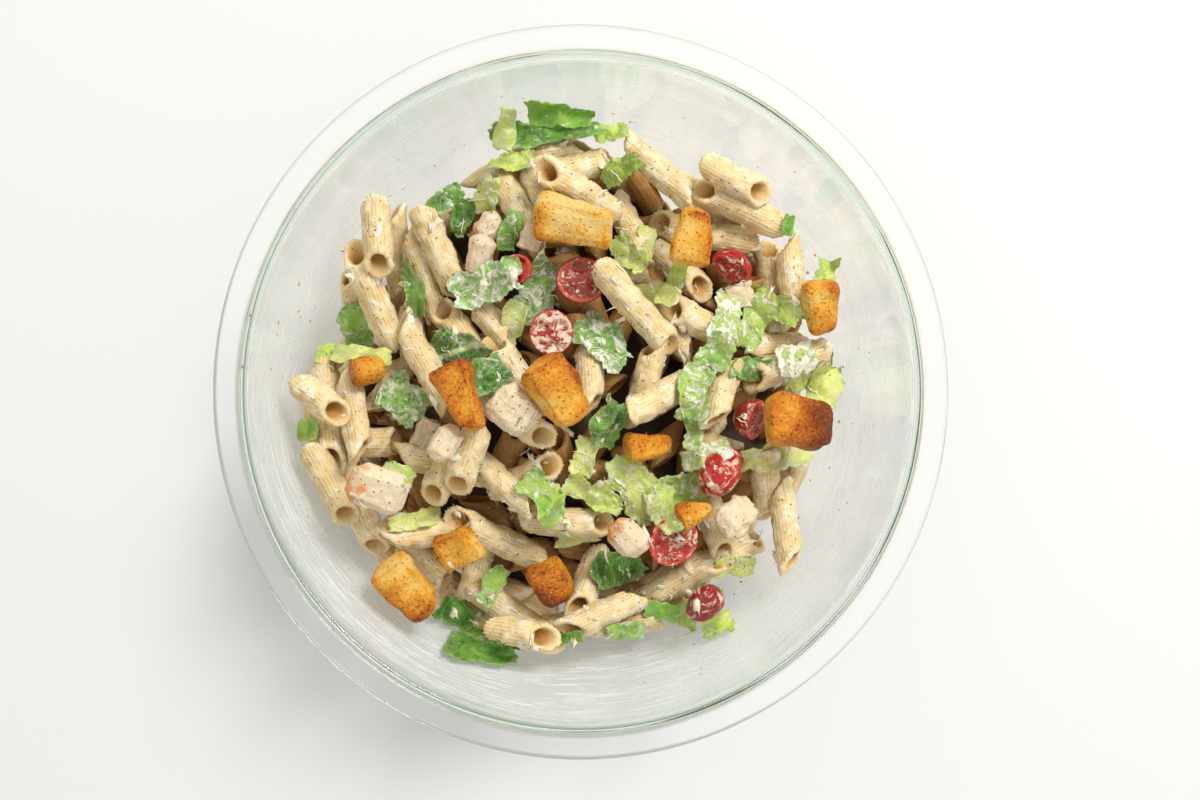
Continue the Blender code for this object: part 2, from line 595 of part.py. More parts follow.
def lay_sheet(relief, bm):
    """Raises the corners of a flat sheet until no part of its triangles is under the relief."""
    floor = relief.floor(relief.window(0, 0, FIELD_REACH))
    steps = range(17)
    shares = np.array([(16 - i - j, i, j) for i in steps for j in steps if i + j <= 16]) / 16

    def ground(points):
        cells = np.rint(points[:, :2] / CELL).astype(int) + FIELD
        return floor[cells[:, 0], cells[:, 1]]

    for corner in bm.verts:
        corner.co.z = ground(np.array([corner.co]))[0]
    for _ in range(3):
        means = [sum(e.other_vert(c).co.z for e in c.link_edges) / len(c.link_edges) for c in bm.verts]
        for corner, mean in zip(bm.verts, means):
            corner.co.z = max(corner.co.z, mean)
    for _ in range(200):
        settled = True
        for face in bm.faces:
            points = shares @ np.array([corner.co for corner in face.verts])
            under = ground(points) - points[:, 2]
            worst = under.argmax()
            if under[worst] > 0.02:
                settled = False
                for corner, share in zip(face.verts, shares[worst]):
                    corner.co.z += under[worst] * share / (shares[worst] ** 2).sum()
        if settled:
            break


def thicken(bm, thickness):
    """A copy of the sheet straight above it, joined round the edge, so both faces have the same triangles."""
    above = bmesh.ops.extrude_face_region(bm, geom=bm.faces[:])
    raised = [part for part in above["geom"] if isinstance(part, bmesh.types.BMVert)]
    bmesh.ops.translate(bm, vec=(0, 0, thickness), verts=raised)
    bmesh.ops.recalc_face_normals(bm, faces=bm.faces)


# ---- filling the bowl


def lay_lettuce(relief, rng, x, y, length, width, heading, lift):
    leaf = drape_leaf(relief, x, y, length, width, heading, lift, rng)
    thicken(leaf, LEAF_THICKNESS)
    relief.cover(leaf)
    return leaf


def lay_block(relief, bm, x, y, reach):
    """Lays a solid piece flat on the slope around its place."""
    bmesh.ops.rotate(bm, cent=(0, 0, 0), matrix=ground_tilt(relief, x, y, reach), verts=bm.verts)
    bmesh.ops.translate(bm, vec=(x, y, 0), verts=bm.verts)
    bmesh.ops.triangulate(bm, faces=bm.faces)
    rise = relief.clearance(bm)
    bmesh.ops.translate(bm, vec=(0, 0, rise), verts=bm.verts)
    relief.cover(bm)
    return bm


def fill_bowl(finishes, group):
    """Lays everything from the glass up, layer by layer, and returns the quills that are to be joined."""
    relief = Relief()
    rng = random.Random(4)
    core = make_core(relief)
    relief.cover_pasta(core)
    quills = [(pose, length, 6, ()) for pose, length in penne_against_glass(rng)]
    for pose, length, sides, ends in quills:
        quill = penne_mesh(length, sides, ends)
        bmesh.ops.transform(quill, matrix=pose, verts=quill.verts)
        relief.cover_pasta(quill)
    for x, y, z, heading, pitch in lay_penne_below(relief, rng):
        quills.append((penne_pose(x, y, z, heading, pitch, 180), PENNE_BELOW_LENGTH, 6, ()))
    for layer in range(1, TOP_LAYER + 1):
        for k, (x, y, heading, length, level, open_end) in enumerate(PENNE_SEEN):
            pose = lay_penne(relief, x, y, heading, length, open_end) if level == layer else None
            if pose:
                x, y, z, heading, pitch = pose
                roll = 90 + 90 * (open_end or 1) + random.Random(k).uniform(-20, 20)
                ends = (open_end,) if open_end else ()
                quills.append((penne_pose(x, y, z, heading, pitch, roll), length, 8, ends))
        for k, (x, y, length, width, heading, lift, level) in enumerate(LETTUCE):
            if level == layer:
                leaf = lay_lettuce(relief, random.Random(200 + k), x, y, length, width, heading, lift)
                place(leaf, f"lettuce_{k + 1:02d}", finishes["lettuce"], group)
        for k, (x, y, length, width, height, heading, tilt, level) in enumerate(TOMATOES):
            if level == layer:
                half = lay_block(relief, half_tomato(length, width, height, heading, tilt), x, y, length / 2)
                place(half, f"tomato_{k + 1}", finishes["tomato"], group)
        for k, (x, y, length, width, thickness, heading, level) in enumerate(CHICKEN):
            if level == layer:
                rng = random.Random(300 + k)
                dice = chunk(length, width, thickness, heading, rng, 1, 0.3)
                dice = lay_block(relief, dice, x, y, length / 2)
                place(dice, f"chicken_{k + 1}", finishes["chicken"], group)
        for k, (x, y, length, width, thickness, heading, level) in enumerate(CROUTONS):
            if level == layer:
                rng = random.Random(400 + k)
                toast = chunk(length, width, thickness, heading, rng, 2, 0.2, CROUTON_TAPERS[k])
                toast = lay_block(relief, toast, x, y, length / 2)
                place(toast, f"crouton_{k + 1:02d}", finishes["crouton"], group)
    return core, quills


def join_heap(core, quills, material, group):
    """The core and every quill made one solid."""
    pieces = bpy.data.collections.new("quills")
    bpy.context.scene.collection.children.link(pieces)
    for k, (pose, length, sides, open_ends) in enumerate(quills):
        bm = penne_mesh(length, sides, open_ends)
        bmesh.ops.transform(bm, matrix=pose, verts=bm.verts)
        place(bm, f"quill_{k}", material, pieces)
    heap = place(core, "pasta_heap", material, group)
    union = heap.modifiers.new("join", "BOOLEAN")
    union.operation = "UNION"
    union.operand_type = "COLLECTION"
    union.collection = pieces
    union.solver = "EXACT"
    joined = bpy.data.meshes.new_from_object(heap.evaluated_get(bpy.context.evaluated_depsgraph_get()))
    heap.modifiers.remove(union)
    heap.data = joined
    for quill in list(pieces.objects):
        bpy.data.objects.remove(quill, do_unlink=True)
    bpy.data.collections.remove(pieces)
    keep_outer_body(joined)
    joined.shade_smooth()
    joined.set_sharp_from_angle(angle=math.radians(35))
    joined.name = "pasta_heap"
    return heap


def keep_outer_body(mesh):
    """Fills the hollows that the joining has sealed and drops loose scraps: the largest surface stays."""
    bm = bmesh.new()
    bm.from_mesh(mesh)
    bmesh.ops.triangulate(bm, faces=bm.faces)
    unseen = set(bm.verts)
    bodies = []
    while unseen:
        edge_of_body = [unseen.pop()]
        body = set(edge_of_body)
        while edge_of_body:
            corner = edge_of_body.pop()
            for edge in corner.link_edges:
                other = edge.other_vert(corner)
                if other in unseen:
                    unseen.remove(other)
                    body.add(other)
                    edge_of_body.append(other)
        bodies.append(body)
    bodies.sort(key=len)
    for scrap in bodies[:-1]:
        bmesh.ops.delete(bm, geom=list(scrap), context="VERTS")
    bm.to_mesh(mesh)
    bm.free()


def main():
    group = start_afresh()
    finishes = {
        "glass": finish("clear_glass", (0.90, 0.96, 0.93), 0.05, 1.0),
        "pasta": finish("dressed_pasta", (0.80, 0.66, 0.42), 0.45),
        "lettuce": finish("lettuce", (0.20, 0.42, 0.07), 0.4),
        "tomato": finish("tomato", (0.60, 0.03, 0.02), 0.3),
        "chicken": finish("cooked_chicken", (0.78, 0.60, 0.46), 0.6),
        "crouton": finish("toasted_bread", (0.75, 0.32, 0.07), 0.8),
    }
    make_bowl(finishes["glass"], group)
    core, quills = fill_bowl(finishes, group)
    join_heap(core, quills, finishes["pasta"], group)


main()
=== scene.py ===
import json
import math
import random

import bmesh
import bpy
import numpy as np
from mathutils import Matrix, Vector, noise
from mathutils.bvhtree import BVHTree

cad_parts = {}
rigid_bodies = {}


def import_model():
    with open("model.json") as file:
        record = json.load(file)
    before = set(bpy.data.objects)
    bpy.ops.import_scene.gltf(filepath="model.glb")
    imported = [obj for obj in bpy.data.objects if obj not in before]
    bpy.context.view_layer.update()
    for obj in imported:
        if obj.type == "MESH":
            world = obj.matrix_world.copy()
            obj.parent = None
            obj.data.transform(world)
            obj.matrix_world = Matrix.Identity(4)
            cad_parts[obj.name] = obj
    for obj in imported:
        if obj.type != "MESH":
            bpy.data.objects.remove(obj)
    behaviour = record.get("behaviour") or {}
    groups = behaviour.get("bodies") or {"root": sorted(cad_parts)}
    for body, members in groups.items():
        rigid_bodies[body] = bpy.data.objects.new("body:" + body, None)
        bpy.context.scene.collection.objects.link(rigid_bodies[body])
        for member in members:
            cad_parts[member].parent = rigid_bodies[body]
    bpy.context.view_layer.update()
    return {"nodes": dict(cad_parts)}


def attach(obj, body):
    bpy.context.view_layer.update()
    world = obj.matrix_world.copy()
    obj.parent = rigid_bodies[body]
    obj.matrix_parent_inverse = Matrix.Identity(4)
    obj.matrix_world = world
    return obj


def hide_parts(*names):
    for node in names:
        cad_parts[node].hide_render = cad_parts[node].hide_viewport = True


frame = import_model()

MM = 0.001

# ---------------------------------------------------------------- glass bowl
# A heavy clear mixing bowl, pressed in one piece: a flat foot, an elliptic wall 4 mm thick and a wide flat
# flange. Seen through its own thickness the glass is faintly green, most of all where the wall turns out.

BOWL_HEIGHT, MOUTH_RADIUS, RIM_RADIUS, FLANGE_DEPTH = 125.0, 127.0, 140.0, 5.5
WALL, FLOOR, FOOT_RADIUS, WALL_CURVE_HEIGHT = 4.0, 6.0, 52.0, 140.0
# The radii of the corners: of the mouth, of the rim's edge and under the flange. Then the foot's small step.
MOUTH_CORNER, EDGE_CORNER, FLANGE_CORNER, FOOT_EDGE = 1.6, 1.5, 2.2, (1.0, 0.8)
INSIDE_STEPS, OUTSIDE_STEPS, BOWL_TURNS = 34, 30, 144
GLASS_TINT, THICK_GLASS_TINT, SHADOW_TINT = (0.985, 1.0, 1.0), (0.90, 0.965, 0.91), (0.998, 1.0, 0.997)
DEEPEST_CLEAR_RAY = 4.5
# Where one looks down along the wall, its whole height of glass makes a green ring: tint, middle and half width.
RING_TINT, RING_RADIUS, RING_REACH = (0.80, 0.88, 0.83), 128.9, 2.6


def wall_swing(height, floor):
    """How far the wall has swung out at this height: 0 at the floor, nearly 1 at the rim."""
    down = (WALL_CURVE_HEIGHT - height) / (WALL_CURVE_HEIGHT - floor)
    return math.sqrt(max(0.0, 1.0 - down * down))


def inner_radius(height):
    return FOOT_RADIUS + (MOUTH_RADIUS - FOOT_RADIUS) / wall_swing(BOWL_HEIGHT, FLOOR) * wall_swing(height, FLOOR)


def outer_radius(height):
    reach = (MOUTH_RADIUS - FOOT_RADIUS) / wall_swing(BOWL_HEIGHT, 0.0)
    return FOOT_RADIUS + WALL + reach * wall_swing(height, 0.0)


def inner_height(radius):
    """The height of the glass under each point this far from the axis, as an array."""
    reach = (MOUTH_RADIUS - FOOT_RADIUS) / wall_swing(BOWL_HEIGHT, FLOOR)
    out = np.clip((radius - FOOT_RADIUS) / reach, 0.0, 1.0)
    height = WALL_CURVE_HEIGHT - (WALL_CURVE_HEIGHT - FLOOR) * np.sqrt(1.0 - out * out)
    return np.where(radius > MOUTH_RADIUS, 3.0 * BOWL_HEIGHT, height)


def wall_heights(floor, top, steps):
    deep = WALL_CURVE_HEIGHT - floor
    swing = math.acos((WALL_CURVE_HEIGHT - top) / deep)
    return [WALL_CURVE_HEIGHT - deep * math.cos(swing * k / steps) for k in range(steps + 1)]


def rounded(centre, radius, first, last, steps):
    """Points round a corner of the glass, from one angle to the other in degrees."""
    turns = [math.radians(first + (last - first) * k / steps) for k in range(steps + 1)]
    return [(centre[0] + radius * math.cos(t), centre[1] + radius * math.sin(t)) for t in turns]


def bowl_profile():
    """Half of the bowl's section, from the middle of its floor over the rim to the middle of its foot."""
    low, edge = BOWL_HEIGHT - FLANGE_DEPTH, RIM_RADIUS - EDGE_CORNER
    mouth = (MOUTH_RADIUS + MOUTH_CORNER, BOWL_HEIGHT - MOUTH_CORNER)
    under = (outer_radius(low - FLANGE_CORNER) + FLANGE_CORNER, low - FLANGE_CORNER)
    profile = [(0.0, FLOOR)]
    profile += [(inner_radius(h), h) for h in wall_heights(FLOOR, mouth[1], INSIDE_STEPS)]
    profile += rounded(mouth, MOUTH_CORNER, 165, 90, 5)
    profile += rounded((edge, BOWL_HEIGHT - EDGE_CORNER), EDGE_CORNER, 90, 0, 6)
    profile += rounded((edge, low + EDGE_CORNER), EDGE_CORNER, 0, -90, 6)
    profile += rounded(under, FLANGE_CORNER, 90, 180, 5)
    profile += [(outer_radius(h), h) for h in reversed(wall_heights(FOOT_EDGE[1], low - 3.0, OUTSIDE_STEPS))]
    return profile + [(FOOT_RADIUS + WALL - FOOT_EDGE[0], 0.0), (0.0, 0.0)]


def start_material(name, **values):
    """A new material, its node tree, its Principled shader with these values, and the place on the piece."""
    material = bpy.data.materials.new(name)
    material.use_nodes = True
    tree = material.node_tree
    shader = tree.nodes["Principled BSDF"]
    for key, value in values.items():
        shader.inputs[key.replace("_", " ")].default_value = value
    return material, tree, shader, tree.nodes.new("ShaderNodeTexCoord").outputs["Object"]


def add(tree, kind, links=None, **settings):
    """A node with its settings, and a value or another node's output on each named or numbered input."""
    made = tree.nodes.new(kind)
    for key, value in settings.items():
        setattr(made, key, value)
    for key, value in (links or {}).items():
        if isinstance(value, bpy.types.NodeSocket):
            tree.links.new(value, made.inputs[key])
        else:
            made.inputs[key].default_value = value
    return made


def maths(tree, operation, *values, **settings):
    """The result of one sum on values or on other nodes' outputs."""
    return add(tree, "ShaderNodeMath", dict(enumerate(values)), operation=operation, **settings).outputs[0]


def vectors(tree, operation, first, second=None, output=0, **links):
    """The result of one sum on vectors."""
    given = {0: first, **({} if second is None else {1: second}), **links}
    return add(tree, "ShaderNodeVectorMath", given, operation=operation).outputs[output]


def mixed(tree, share, first, second, **settings):
    """The colour this far from the first to the second."""
    first, second = (v if isinstance(v, bpy.types.NodeSocket) else (*v, 1) for v in (first, second))
    return add(tree, "ShaderNodeMix", {0: share, 6: first, 7: second}, data_type="RGBA", **settings).outputs[2]


def carried(tree, value, low, high, to_low=0.0, to_high=1.0, kind="LINEAR"):
    """A value carried from one range over to another, and held at its ends."""
    return add(tree, "ShaderNodeMapRange", {
        "Value": value, "From Min": low, "From Max": high, "To Min": to_low, "To Max": to_high,
    }, interpolation_type=kind).outputs[0]


def mottling(tree, place, scale, detail, **more):
    """Soft irregular patches, this many to the metre and with this much detail."""
    links = {key.replace("_", " "): value for key, value in more.items()}
    return add(tree, "ShaderNodeTexNoise", {"Vector": place, "Scale": scale, "Detail": detail, **links}).outputs["Fac"]


def raised(tree, shader, height, strength, distance):
    bump = add(tree, "ShaderNodeBump", {"Height": height, "Strength": strength, "Distance": distance})
    tree.links.new(bump.outputs["Normal"], shader.inputs["Normal"])


def let_light_through(tree, shader, more=None, tint=(1, 1, 1, 1)):
    """Shadow and bounced rays, and those that are marked besides, go straight through the surface."""
    ray = add(tree, "ShaderNodeLightPath").outputs
    straight = maths(tree, "MAXIMUM", ray["Is Shadow Ray"], ray["Is Diffuse Ray"])
    if more is not None:
        straight = maths(tree, "MAXIMUM", straight, more)
    passing = add(tree, "ShaderNodeBsdfTransparent", {"Color": tint})
    surface = add(tree, "ShaderNodeMixShader", {0: straight, 1: shader.outputs[0], 2: passing.outputs[0]})
    tree.links.new(surface.outputs[0], tree.nodes["Material Output"].inputs["Surface"])


def into_scene(name, data):
    thing = bpy.data.objects.new(name, data)
    bpy.context.scene.collection.objects.link(thing)
    return thing


def keep_piece(name, mesh, nodes=(), material=None):
    """The finished mesh, in metres, as a piece that rides on the one body and stands for its CAD nodes."""
    if material:
        mesh.materials.clear()
        mesh.materials.append(material)
    piece = into_scene(name, mesh)
    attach(piece, "root")
    if nodes:
        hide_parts(*nodes)


def applied(thing, name):
    """The object's evaluated mesh as a plain mesh, with the working object removed."""
    bpy.context.view_layer.update()
    mesh = bpy.data.meshes.new_from_object(thing.evaluated_get(bpy.context.evaluated_depsgraph_get()))
    mesh.name = name
    bpy.data.objects.remove(thing, do_unlink=True)
    return mesh


def turned_glass():
    mesh = bpy.data.meshes.new("bowl_profile")
    points = [(radius * MM, 0.0, height * MM) for radius, height in bowl_profile()]
    mesh.from_pydata(points, [(k, k + 1) for k in range(len(points) - 1)], [])
    lathe = into_scene("lathe", mesh)
    screw = lathe.modifiers.new("turn", "SCREW")
    screw.steps = screw.render_steps = BOWL_TURNS
    screw.use_merge_vertices, screw.merge_threshold = True, 0.01 * MM
    screw.use_smooth_shade = True
    return applied(lathe, "glass_bowl_turned")


def clear_glass():
    """Pressed glass, slightly uneven. Light reaches the salad through it, and where it is thick it is green."""
    material, tree, shader, place = start_material(
        "clear_glass", Roughness=0.02, IOR=1.5, Transmission_Weight=1.0
    )
    out = vectors(tree, "LENGTH", vectors(tree, "MULTIPLY", place, (1.0, 1.0, 0.0)), output="Value")
    beside = maths(tree, "ABSOLUTE", maths(tree, "SUBTRACT", out, RING_RADIUS * MM))
    ring = carried(tree, beside, 0.0, RING_REACH * MM, 1.0, 0.0, "SMOOTHSTEP")
    tree.links.new(mixed(tree, ring, GLASS_TINT, RING_TINT), shader.inputs["Base Color"])
    raised(tree, shader, mottling(tree, place, 22.0, 1.0), 0.12, 0.0012)
    deep = maths(tree, "GREATER_THAN", add(tree, "ShaderNodeLightPath").outputs["Ray Depth"], DEEPEST_CLEAR_RAY)
    let_light_through(tree, shader, deep, mixed(tree, deep, SHADOW_TINT, THICK_GLASS_TINT))
    return material


keep_piece("bowl", turned_glass(), ["glass_bowl"], clear_glass())

# ---------------------------------------------------------------- penne
# Ridged quills of cooked pasta with slanted ends, tossed in a creamy dressing, lying on and in each other.
# Each settles on what was laid before it, in the order in which the solids were laid, so it lies where its
# solid does. The rows against the glass and the few at the bottom of the gaps are simpler.

SALAD_MIDDLE, SALAD_STEEPENS = 91.0, 2.2
# How far the salad reaches from the axis, every so many degrees from +X towards +Y.
REACH_EVERY = 15.0
SALAD_REACH = (
    106, 112, 111, 109, 108, 111, 114, 116, 110, 111, 113, 114,
    120, 119, 116, 115, 114, 112, 108, 108, 109, 108, 110, 106,
)
BED_DEPTH, BED_SHARE, BED_BLEND, BED_GAP = 9.0, 0.92, 8.0, 4.0
# The bed is a ball of so many sides: its upper rings carry the pieces, the ones below follow the glass.
BED_SIDES, BED_RINGS, BED_TOP_RINGS, BED_FLARE = 30, 12, 8, 1.5
# Its rim is found from this height in so many steps, each of this share of what is still missing.
RIM_FROM, RIM_STEPS, RIM_STEP = 50.0, 30, 0.4
GAP, GLASS_GAP, SINK, LEAST_SINK, FIRM_SHARE = 0.4, 1.4, 2.3, 1.9, 0.75
CELL, FIELD_REACH = 0.5, 134.0
FIELD = int(FIELD_REACH / CELL)
JUST_ABOVE_FLOOR = FLOOR + 0.01
QUILL_RADIUS, QUILL_SLANT, QUILL_HULL = 6.1, 0.75, 6.4
STEEPEST, PITCH_STEP, HIGHEST, END_ROOM = 33, 3, 11.0, 1.0
# Where a quill can't lie as asked, it is moved outwards on a spiral, so much further and turned so much a try.
NUDGES, NUDGE, NUDGE_TURN, SPIRAL, WOBBLE = 32, 0.4, 1.2, 2.4, 1.7
# A quill as it is drawn: a little slimmer and longer than the room it takes, with a thick wall and long slants.
DRAWN_RADIUS, DRAWN_WALL, DRAWN_SLANT, DRAWN_LONGER = 5.2, 1.9, 1.1, 1.13
RIDGES, RIDGE_HEIGHT = 22, 0.30

# Quills that show: x, y, heading, length, layer (5 lies on top), open end (1 far, -1 near, 0 none).
PENNE = (
    (-2, 81, -29, 40, 4, -1), (0, 92, 20, 36, 3, 1), (-12, 98, 9, 34, 2, 0), (31, 90, -42, 43, 4, 0),
    (-18, 82, -56, 30, 1, 0), (-25, 73, -58, 40, 2, 0), (20, 67, -64, 36, 3, 0), (50, 66, -13, 43, 3, -1),
    (65, 75, -25, 40, 4, -1), (54, 88, -27, 38, 3, 0), (63, 68, -25, 30, 1, 0), (78, 44, -87, 38, 2, -1),
    (89, 44, -87, 38, 2, 0), (19, 49, 3, 30, 2, 1), (41, 50, -42, 30, 3, 1), (46, 29, -28, 30, 3, -1),
    (22, 34, -48, 48, 5, 1), (80, 20, 3, 38, 4, 0), (83, 10, 23, 36, 4, -1), (27, -10, 26, 38, 4, 1),
    (-102, -9, -82, 45, 4, 1), (-91, -8, -76, 42, 4, 0), (-103, -36, -63, 42, 3, -1), (-91, -46, -68, 42, 3, 1),
    (-84, 39, -69, 43, 4, -1), (-76, 58, -87, 38, 3, 0), (-56, 57, -68, 40, 4, 1), (-65, 49, -71, 40, 3, 0),
    (-93, 40, -80, 30, 1, 0), (-70, 26, -86, 32, 1, 0), (-48, 22, -53, 36, 2, -1), (-26, 7, -55, 38, 3, -1),
    (-59, 2, -73, 42, 4, 0), (-77, 4, 60, 32, 1, 0), (-107, -12, -41, 28, 1, -1),
    (-84, -20, 2, 26, 2, 1), (-58, -29, -12, 36, 1, 0), (-35, -16, -34, 42, 4, 1), (-23, -34, 24, 30, 2, 1),
    (-32, -36, -38, 36, 3, 0), (-45, -26, 70, 30, 2, -1), (-54, -31, 61, 30, 1, -1), (-35, -59, -27, 43, 5, -1),
    (-65, -70, -46, 34, 3, 1), (-66, -57, 7, 34, 4, 0), (-43, -71, 74, 34, 3, 0), (-27, -92, -33, 42, 4, 1),
    (-6, -52, -3, 36, 3, 1), (38, -79, 32, 42, 3, 0), (59, -66, 24, 38, 4, 1), (83, -54, -84, 40, 3, 0),
    (76, -38, -86, 36, 2, 1), (56, -23, -20, 28, 2, 1), (64, -5, 76, 34, 4, 0), (54, -5, 90, 30, 3, 0),
    (54, -54, -71, 32, 3, 1), (2, -78, 70, 32, 3, -1), (8, -90, 22, 38, 4, 0), (-2, -96, 5, 30, 1, 0),
    (18, -96, 4, 36, 1, 0), (38, -91, 3, 30, 1, 0), (3, 8, -86, 36, 2, 0), (26, 4, 79, 36, 2, 0),
    (37, 25, -48, 30, 1, 0), (-37, 29, -51, 30, 1, 0),
)
# Quills that lean on the glass over those, so they settle last: x, y, heading, length.
RIM_PENNE = (
    (-101, -37, -63, 40), (-103, -3, -35, 28), (-81, 62, -87, 34), (-24, -97, -8, 32), (62, 86, -27, 34),
)
PENNE_BELOW, BELOW_TRIES, PENNE_BELOW_LENGTH, BELOW_MARGIN = 8, 14, 34.0, 12.0
# The rows round the glass: height and number of quills. Then their lengths and how unevenly they lie.
GLASS_ROWS, ROW_LENGTHS, ROW_UNEVEN, ROW_LIFT = ((20.0, 7), (36.0, 12), (50.0, 14), (66.0, 16)), (30, 40), 0.2, 4
# How far a row's quills end below the surface, how steep they lie at most and otherwise, and how each slides in.
ROW_BELOW_TOP, ROW_STEEPEST, ROW_LEAN, SLIDES, SLIDE = 3.0, 0.85, 8.0, 20, 0.8
# The mass of the salad below those: how far its own bed lies under theirs, and quills at random in its hollows.
MASS_DEPTH, MASS_FROM_HEIGHT, MASS_GAP, MASS_TOP = 13.0, 35.0, 9.0, -4.1
MASS_QUILLS, MASS_TRIES, MASS_LENGTHS, MASS_MARGIN = 130, 7, (26, 36), 8.0
# The salad that shows through the side of the bowl: quills pressed against the glass, then a few behind them.
SIDE_TRIES, SIDE_LENGTHS, SIDE_APART, SIDE_LOWEST = 6000, (26, 37), 8.4, 10.5
SIDE_LAYERS, SIDE_BELOW_TOP, SIDE_LEANS, SIDE_OFF_GLASS, SIDE_MARKS = (0.0, 8.0), 9.0, (75, 12), 0.8, 6

# The layer in which each piece of the toppings was laid, and the blocks that the bed sinks under: x, y, length,
# width, thickness, heading.
TOPPING_LAYERS = {
    "lettuce_{:02d}": (3, 3, 3, 2, 4, 4, 3, 4, 4, 3, 4, 4, 4, 3, 3, 3, 4, 3, 3, 4, 3, 3, 3, 3, 5, 3, 4, 3, 3, 3, 3),
    "tomato_{}": (3, 3, 4, 3, 3, 4, 4, 4),
    "chicken_{}": (3, 3, 5, 4, 4, 3, 4),
    "crouton_{:02d}": (5, 5, 4, 5, 4, 5, 5, 5, 5, 4, 5, 4),
}
BLOCKS = (
    (-3, 67, 32, 20, 14, -12), (44, 62, 23, 20, 13, 80), (96, 35, 23, 16, 13, -78), (86, -12, 28, 22, 16, -6),
    (-85, 9, 16, 13, 12, 10), (-46, -2, 29, 18, 13, -65), (-10, 1, 30, 21, 15, -57), (27, -22, 21, 14, 11, 4),
    (-49, -62, 20, 17, 11, 24), (-70, -78, 27, 20, 15, -50), (-12, -76, 21, 17, 13, -62), (45, -49, 15, 12, 9, 20),
    (-38, 67, 16, 14, 11, 40), (-41, 55, 21, 12, 10, 75), (-79, -38, 28, 19, 12, -20), (-26, -7, 24, 19, 13, -40),
    (18, -58, 20, 16, 12, -50), (-53, -20, 18, 12, 10, 60), (62, -50, 20, 16, 11, 40), (-26, 49, 14, 12, 9, 20),
    (0, 45, 22, 19, 11, 0), (-12, 24, 20, 18, 11, 90), (61, 51, 19, 13, 9, -30), (70, -11, 18, 13, 10, 75),
    (56, -32, 24, 17, 11, 60), (37, -60, 23, 20, 12, 50), (50, -86, 19, 13, 11, 32),
)


def highest_near(height):
    """Each cell's height, or that of a neighbour if it is higher."""
    padded = np.pad(height, 1, mode="edge")
    rows, columns = height.shape
    return np.maximum.reduce([padded[i : i + rows, j : j + columns] for i in range(3) for j in range(3)])


def smoothed(field, width):
    """A field of cells, each blended with those around it by a bell curve this many millimetres wide."""
    reach = np.arange(-3 * width, 3 * width + CELL, CELL)
    bell = np.exp(-0.5 * (reach / width) ** 2)
    for axis in (0, 1):
        field = np.apply_along_axis(np.convolve, axis, field, bell / bell.sum(), mode="same")
    return field


def value_at(field, x, y):
    return float(field[round(x / CELL) + FIELD, round(y / CELL) + FIELD])


def salad_reach(x, y):
    turn = np.degrees(np.arctan2(y, x)) % 360.0
    return np.interp(turn, np.arange(len(SALAD_REACH) + 1) * REACH_EVERY, SALAD_REACH + SALAD_REACH[:1])


def reach_towards(turn):
    return float(salad_reach(math.cos(turn), math.sin(turn)))


def meets_glass(turn):
    """How high up the glass the salad's surface is on this side."""
    return float(inner_height(reach_towards(turn)))


def surface_height(x, y):
    reach = salad_reach(x, y)
    fall = SALAD_MIDDLE - inner_height(reach)
    return SALAD_MIDDLE - fall * np.minimum(np.hypot(x, y) / reach, 1.05) ** SALAD_STEEPENS


def spot_at_random(rng, margin):
    """A place over the salad, evenly spread, this far in from where the salad meets the glass."""
    turn = rng.uniform(0, 2 * math.pi)
    radius = (reach_towards(turn) - margin) * math.sqrt(rng.random())
    return radius * math.cos(turn), radius * math.sin(turn)


def along_and_across(field_x, field_y, x, y, heading):
    """Where the points of a field lie along and across a piece with this middle and heading."""
    ahead = (math.cos(math.radians(heading)), math.sin(math.radians(heading)))
    east, north = field_x - x, field_y - y
    return east * ahead[0] + north * ahead[1], north * ahead[0] - east * ahead[1]


class Relief:
    """What already lies in the bowl: the height of its top over a square field of cells."""

    def __init__(self):
        axis = np.arange(-FIELD, FIELD + 1) * CELL
        self.x, self.y = np.meshgrid(axis, axis, indexing="ij")
        self.other = inner_height(np.hypot(self.x, self.y) + GLASS_GAP)
        self.pasta = np.full(self.x.shape, -1.0)
        self.firm = self.pasta.copy()

    def window(self, x, y, reach):
        first = [max(0, int((v - reach) / CELL) + FIELD) for v in (x, y)]
        last = [min(2 * FIELD, int((v + reach) / CELL) + FIELD + 1) for v in (x, y)]
        return slice(first[0], last[0] + 1), slice(first[1], last[1] + 1)

    def cover(self, fields, corners, faces):
        """Lays a closed shape, in millimetres, over what is there in these fields."""
        tree = BVHTree.FromPolygons(corners, faces)
        low, high = np.min(corners, 0), np.max(corners, 0)
        window = self.window(*((low + high) / 2)[:2], max((high - low)[:2]) / 2 + CELL)
        across, along = self.x[window], self.y[window]
        top = np.full(across.shape, np.nan)
        for i, j in np.ndindex(across.shape):
            hit = tree.ray_cast(Vector((across[i, j], along[i, j], 900)), Vector((0, 0, -1)))[0]
            if hit is not None:
                top[i, j] = hit.z
        for field in fields:
            field[window] = np.fmax(field[window], top)

    def cover_topping(self, mesh):
        self.cover([self.other], [v.co / MM for v in mesh.vertices], [face.vertices[:] for face in mesh.polygons])

    def cover_pasta(self, bm):
        bm.verts.index_update()
        faces = [[corner.index for corner in face.verts] for face in bm.faces]
        self.cover([self.pasta, self.firm], [corner.co.copy() for corner in bm.verts], faces)

    def cover_quill(self, cover, fields=2):
        """Lays a settled quill over the pasta, and its middle over what is too firm to sink into."""
        window, masks, top = cover
        for field, mask in list(zip((self.pasta, self.firm), masks))[:fields]:
            field[window] = np.where(mask, np.maximum(field[window], top), field[window])


